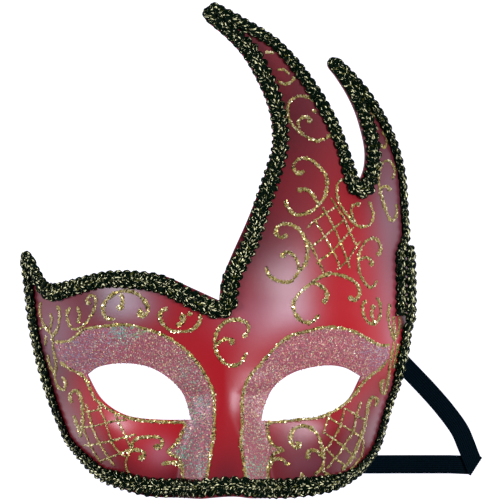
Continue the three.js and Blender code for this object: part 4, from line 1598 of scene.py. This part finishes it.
@dataclass(frozen=True)
class GoldLines:
    """Scrolls, lattice and borders of gold glitter glue: low beads on the shell, full of foil grains."""

    rise: float = 0.45
    sides: int = 8
    step: float = 0.45
    knot_steps: int = 8
    sink: float = 0.12
    lumps: float = 0.2
    lump_run: int = 3
    lump_range: tuple[float, float] = (0.65, 1.4)
    end_thin: float = 0.6
    drop_steps: int = 9
    drop_reach: float = 0.97
    grains: float = 3.6
    grain_lift: float = 0.06
    grain: tuple[float, float] = (0.42, 0.82)
    tilt: float = 0.42
    # flake colours: random foil tones, with the palest partly painted glints and the darkest partly painted
    # shade between the grains
    colours: Sequence[tuple[str, float]] = (
        ("CCB864", 0.28), ("FFF4BC", 0.32), ("8C7834", 0.2), ("3E3410", 0.2))
    # the glue on the crest is thinner, and its grains are tinted darker up the crest
    crest_from: float = 5.0
    crest_over: float = 60.0
    crest_darkening: float = 0.25
    crest_thin: float = 0.2

    def up_crest(self, points: np.ndarray) -> np.ndarray:
        """How far up the crest points in plan are, from 0 to 1."""
        return ease((points[:, 1] - self.crest_from) / self.crest_over)

    def strokes(self, form: ShellForm, view: PhotoView,
                rng: np.random.Generator) -> Iterable[tuple[np.ndarray, np.ndarray]]:
        """Every line and drop.

        Args:
            form: the shell's form.
            view: the camera that the lines' pixels belong to.
            rng: the source of chance.

        Yields:
            A line in plan and its half widths.
        """
        kinds = ((BORDERS, Line.BORDER), (SCROLLS, Line.SCROLL), (FINE_SCROLLS, Line.FINE),
                 (LATTICE, Line.LATTICE))
        for lines, kind in kinds:
            for points in lines:
                line = even_line(view.to_plan(smooth_line(points, self.knot_steps), form), self.step)
                chance = rng.standard_normal(len(line) + self.lump_run - 1)
                lumps = np.convolve(chance, np.ones(self.lump_run) / math.sqrt(self.lump_run), "valid")
                half = kind.value / 2 * np.clip(1 + self.lumps * lumps, *self.lump_range)
                half *= 1 - self.crest_thin * self.up_crest(line)
                half[[0, -1]] *= self.end_thin
                yield line, half
        share = np.linspace(-self.drop_reach, self.drop_reach, self.drop_steps)
        for x, y, radius in DROPS:
            centre = view.to_plan([(x, y)], form)
            yield centre + share[:, None] * [[radius, 0.0]], radius * np.sqrt(1 - share ** 2)

    def build(self, form: ShellForm, view: PhotoView, glue: bpy.types.Material,
              foil: bpy.types.Material) -> list[bpy.types.Object]:
        """Makes the beads and the grains on them.

        Args:
            form: the shell's form.
            view: the camera.
            glue: the beads' finish.
            foil: the grains' finish.

        Returns:
            The beads and the grains.
        """
        rng = np.random.default_rng(SEED)
        sweep = Sweep()
        flakes = Flakes(self.grain, self.tilt, self.colours)
        angle = np.linspace(0, math.pi, self.sides)
        for line, half in self.strokes(form, view, rng):
            along = unit(np.gradient(line, axis=0))
            side = np.column_stack([along[:, 1], -along[:, 0]])
            across = line[:, None] + side[:, None] * (np.cos(angle)[None] * half[:, None])[..., None]
            rise = self.rise * np.minimum(half / np.median(half), 1)
            lift = np.sin(angle)[None] * rise[:, None] - self.sink
            sweep.add(form.over(across[..., 0], across[..., 1], lift)[:, ::-1], way_along(line))
            count = round(way_along(line)[-1] * 2 * half.mean() * self.grains)
            at = rng.uniform(0, len(line) - 1, count)
            low = np.minimum(at.astype(int), len(line) - 2)
            part = (at - low)[:, None]
            share = rng.uniform(-1, 1, count)
            place = line[low] * (1 - part) + line[low + 1] * part + side[low] * (share * half[low])[:, None]
            height = rise[low] * np.sqrt(1 - share ** 2) - self.sink + self.grain_lift
            x, y = place.T
            flakes.add(form.over(x, y, height), form.normal(x, y), rng)
            # grain colours darker up the crest
            dull = 1 - self.crest_darkening * self.up_crest(place)
            flakes.tints[-1][:, :3] *= dull[:, None]
        beads = make_object("gold_glue_lines", sweep.mesh("gold_glue_lines"), glue, Slot.SHELL)
        return [beads, flakes.build("gold_glitter_grains", foil)]


@dataclass(frozen=True)
class Tinge:
    """A place in the picture, in pixels, round which a share of the eye glitter has another colour."""

    x: float
    y: float
    reach: float
    share: float
    colour: str


@dataclass(frozen=True)
class EyeGlitter:
    """Rose glitter with gold specks on the zones round both eyes, tinged green in places, with a painted
    lilac sheen near the outer corners.
    """

    density: float = 6.0
    flake: tuple[float, float] = (0.34, 0.6)
    tilt: float = 0.22
    lift: float = 0.12
    hole_step: float = 0.8
    colours: Sequence[tuple[str, float]] = (
        ("BE6268", 0.34), ("A66468", 0.24), ("C48A86", 0.13), ("DCC08E", 0.12), ("A89C88", 0.1),
        ("F8ECC0", 0.06))
    # the lilac-grey tinges near the outer corners are painted sheen
    tinges: Sequence[Tinge] = (
        Tinge(119, 330, 11, 0.75, "6CB89C"), Tinge(131, 332, 7, 0.6, "74B898"),
        Tinge(142, 332, 5, 0.6, "7CB46C"), Tinge(193, 411, 9, 0.5, "84B884"),
        Tinge(200, 404, 8, 0.4, "84A89C"), Tinge(192, 440, 14, 0.4, "8CB098"),
        Tinge(183, 455, 9, 0.6, "74B894"), Tinge(200, 468, 12, 0.45, "84B49C"),
        Tinge(257, 468, 12, 0.5, "74B894"), Tinge(260, 440, 14, 0.2, "94AC8C"),
        Tinge(203, 425, 26, 0.5, "6E6866"), Tinge(193, 463, 16, 0.4, "5E6A62"),
        Tinge(70, 352, 20, 0.5, "8C7C92"), Tinge(325, 343, 55, 0.35, "D87C7C"),
        Tinge(150, 350, 60, 0.3, "905C60"), Tinge(195, 375, 22, 0.4, "8E6260"),
        Tinge(80, 352, 30, 0.3, "8A6066"), Tinge(380, 351, 20, 0.45, "B49CAC"),
        Tinge(95, 340, 24, 0.25, "9C90A4"), Tinge(190, 375, 20, 0.2, "94A48C"))

    @staticmethod
    def zones(form: ShellForm, view: PhotoView) -> list[np.ndarray]:
        """Both zones as polygons in plan."""
        return [view.to_plan(zone, form) for zone in (LEFT_ZONE, RIGHT_ZONE)]

    def tinged(self, points: np.ndarray, form: ShellForm, view: PhotoView,
               rng: np.random.Generator) -> np.ndarray:
        """Colours of the tinged flakes.

        Args:
            points: the flakes' places in plan.
            form: the shell's form.
            view: the camera that the tinges' pixels belong to.
            rng: the source of chance.

        Returns:
            A colour for each flake, and -1 for one that isn't tinged.
        """
        tints = np.full((len(points), 4), -1.0)
        for tinge in self.tinges:
            centre = view.to_plan([(tinge.x, tinge.y)], form)[0]
            away = np.linalg.norm(points - centre, axis=1) / (tinge.reach * view.height / view.focal_px)
            tints[rng.uniform(size=len(points)) < tinge.share * np.exp(-away ** 2)] = linear(tinge.colour)
        return tints

    def build(self, form: ShellForm, rim: Rim, view: PhotoView,
              foil: bpy.types.Material) -> bpy.types.Object:
        """Scatters the flakes over both zones, clear of the eye holes.

        Args:
            form: the shell's form.
            rim: its outline and eye holes.
            view: the camera.
            foil: the flakes' finish.

        Returns:
            The piece.
        """
        rng = np.random.default_rng(SEED + 1)
        flakes = Flakes(self.flake, self.tilt, self.colours)
        for zone, eye in zip(self.zones(form, view), (rim.left_eye, rim.right_eye)):
            low, high = zone.min(0), zone.max(0)
            points = rng.uniform(low, high, (round(np.prod(high - low) * self.density), 2))
            hole = rim.loop(eye, self.hole_step)
            points = points[inside(points, zone) & ~inside(points, hole)]
            points = points[distance_to(points, hole) > self.flake[1] / 2]
            x, y = points.T
            flakes.add(form.over(x, y, np.full(len(x), self.lift)), form.normal(x, y), rng)
            tints = self.tinged(points, form, view, rng)
            flakes.tints[-1] = np.where(tints[:, :1] < 0, flakes.tints[-1], tints)
        return flakes.build("eye_glitter_flakes", foil)


@dataclass(frozen=True)
class SoftBox:
    """A soft light over the table, which faces the mask. Its place and its size are in metres."""

    name: str
    at: tuple[float, float, float]
    wide: float
    tall: float
    watts: float
    colour: str = "FFFFFF"

    def build(self) -> None:
        """Makes the light, facing the mask."""
        data = bpy.data.lights.new(self.name, "AREA")
        data.shape = "RECTANGLE"
        data.size, data.size_y = self.wide, self.tall
        data.energy = self.watts
        data.color = linear(self.colour)[:3]
        light = bpy.data.objects.new(self.name, data)
        light.location = self.at
        light.rotation_euler = (-Vector(self.at)).to_track_quat("-Z", "Y").to_euler()
        bpy.context.scene.collection.objects.link(light)


@dataclass(frozen=True)
class Studio:
    """White glowing table and soft lights."""

    floor_size: float = 6.0
    floor_drop: float = 0.0004
    glow: float = 1.35
    tint: str = "F2F2FF"
    sky: str = "8A8A90"
    sky_strength: float = 0.1
    boxes: Sequence[SoftBox] = (
        SoftBox("right_box", (0.79, 0.25, 1.13), 0.5, 0.5, 16.0, "F2F0FF"),
        SoftBox("left_box", (-1.08, 0.21, 0.7), 0.45, 0.45, 12.0, "F2F0FF"),
        SoftBox("right_low_box", (1.7, 0.25, 0.16), 0.5, 0.3, 1.0, "E8E8FF"),
        SoftBox("back_box", (0.1, 1.5, 0.6), 1.2, 0.5, 2.0),
        SoftBox("front_box", (0.1, -1.5, 0.6), 1.2, 0.5, 2.0),
    )

    def build(self) -> None:
        """Makes the table, the sky and the lights."""
        shape = bmesh.new()
        bmesh.ops.create_grid(shape, x_segments=1, y_segments=1, size=self.floor_size / 2)
        mesh = bpy.data.meshes.new("white_table")
        shape.to_mesh(mesh)
        shape.free()
        for vertex in mesh.vertices:
            vertex.co.z = -self.floor_drop
        material = bpy.data.materials.new("white_light_table")
        material.use_nodes = True
        tree = material.node_tree
        tree.nodes.clear()
        glow = add_node(tree, "ShaderNodeEmission", {"Color": linear(self.tint), "Strength": self.glow})
        add_node(tree, "ShaderNodeOutputMaterial", {"Surface": glow.outputs[0]})
        mesh.materials.append(material)
        table = bpy.data.objects.new("white_table", mesh)
        bpy.context.scene.collection.objects.link(table)
        world = bpy.data.worlds.new("studio")
        world.use_nodes = True
        back = world.node_tree.nodes["Background"]
        back.inputs["Color"].default_value = linear(self.sky)
        back.inputs["Strength"].default_value = self.sky_strength
        scene = bpy.context.scene
        scene.world = world
        scene.view_settings.view_transform = "Standard"
        for box in self.boxes:
            box.build()


def main() -> None:
    """Builds the camera, the strap and then every other piece."""
    logging.basicConfig(level=logging.INFO, format="%(name)s %(message)s")
    form, rim, view = ShellForm(), Rim(), PhotoView()
    view.build()
    Strap().build(form, Elastic().build())
    zones = EyeGlitter.zones(form, view)
    MaskShell().build(form, rim, view, zones, RedLacquer().build())
    Braid().build(form, rim, BraidYarn().build())
    gold = FlakeFoil("gold_polyester_glitter", metallic=0.5, roughness=0.28)
    GoldLines().build(form, view, GlitterGlue().build(), gold.build())
    rose = FlakeFoil("rose_polyester_glitter", metallic=0.05, roughness=0.42)
    EyeGlitter().build(form, rim, view, rose.build())
    Studio().build()


if __name__ == "__main__":
    main()
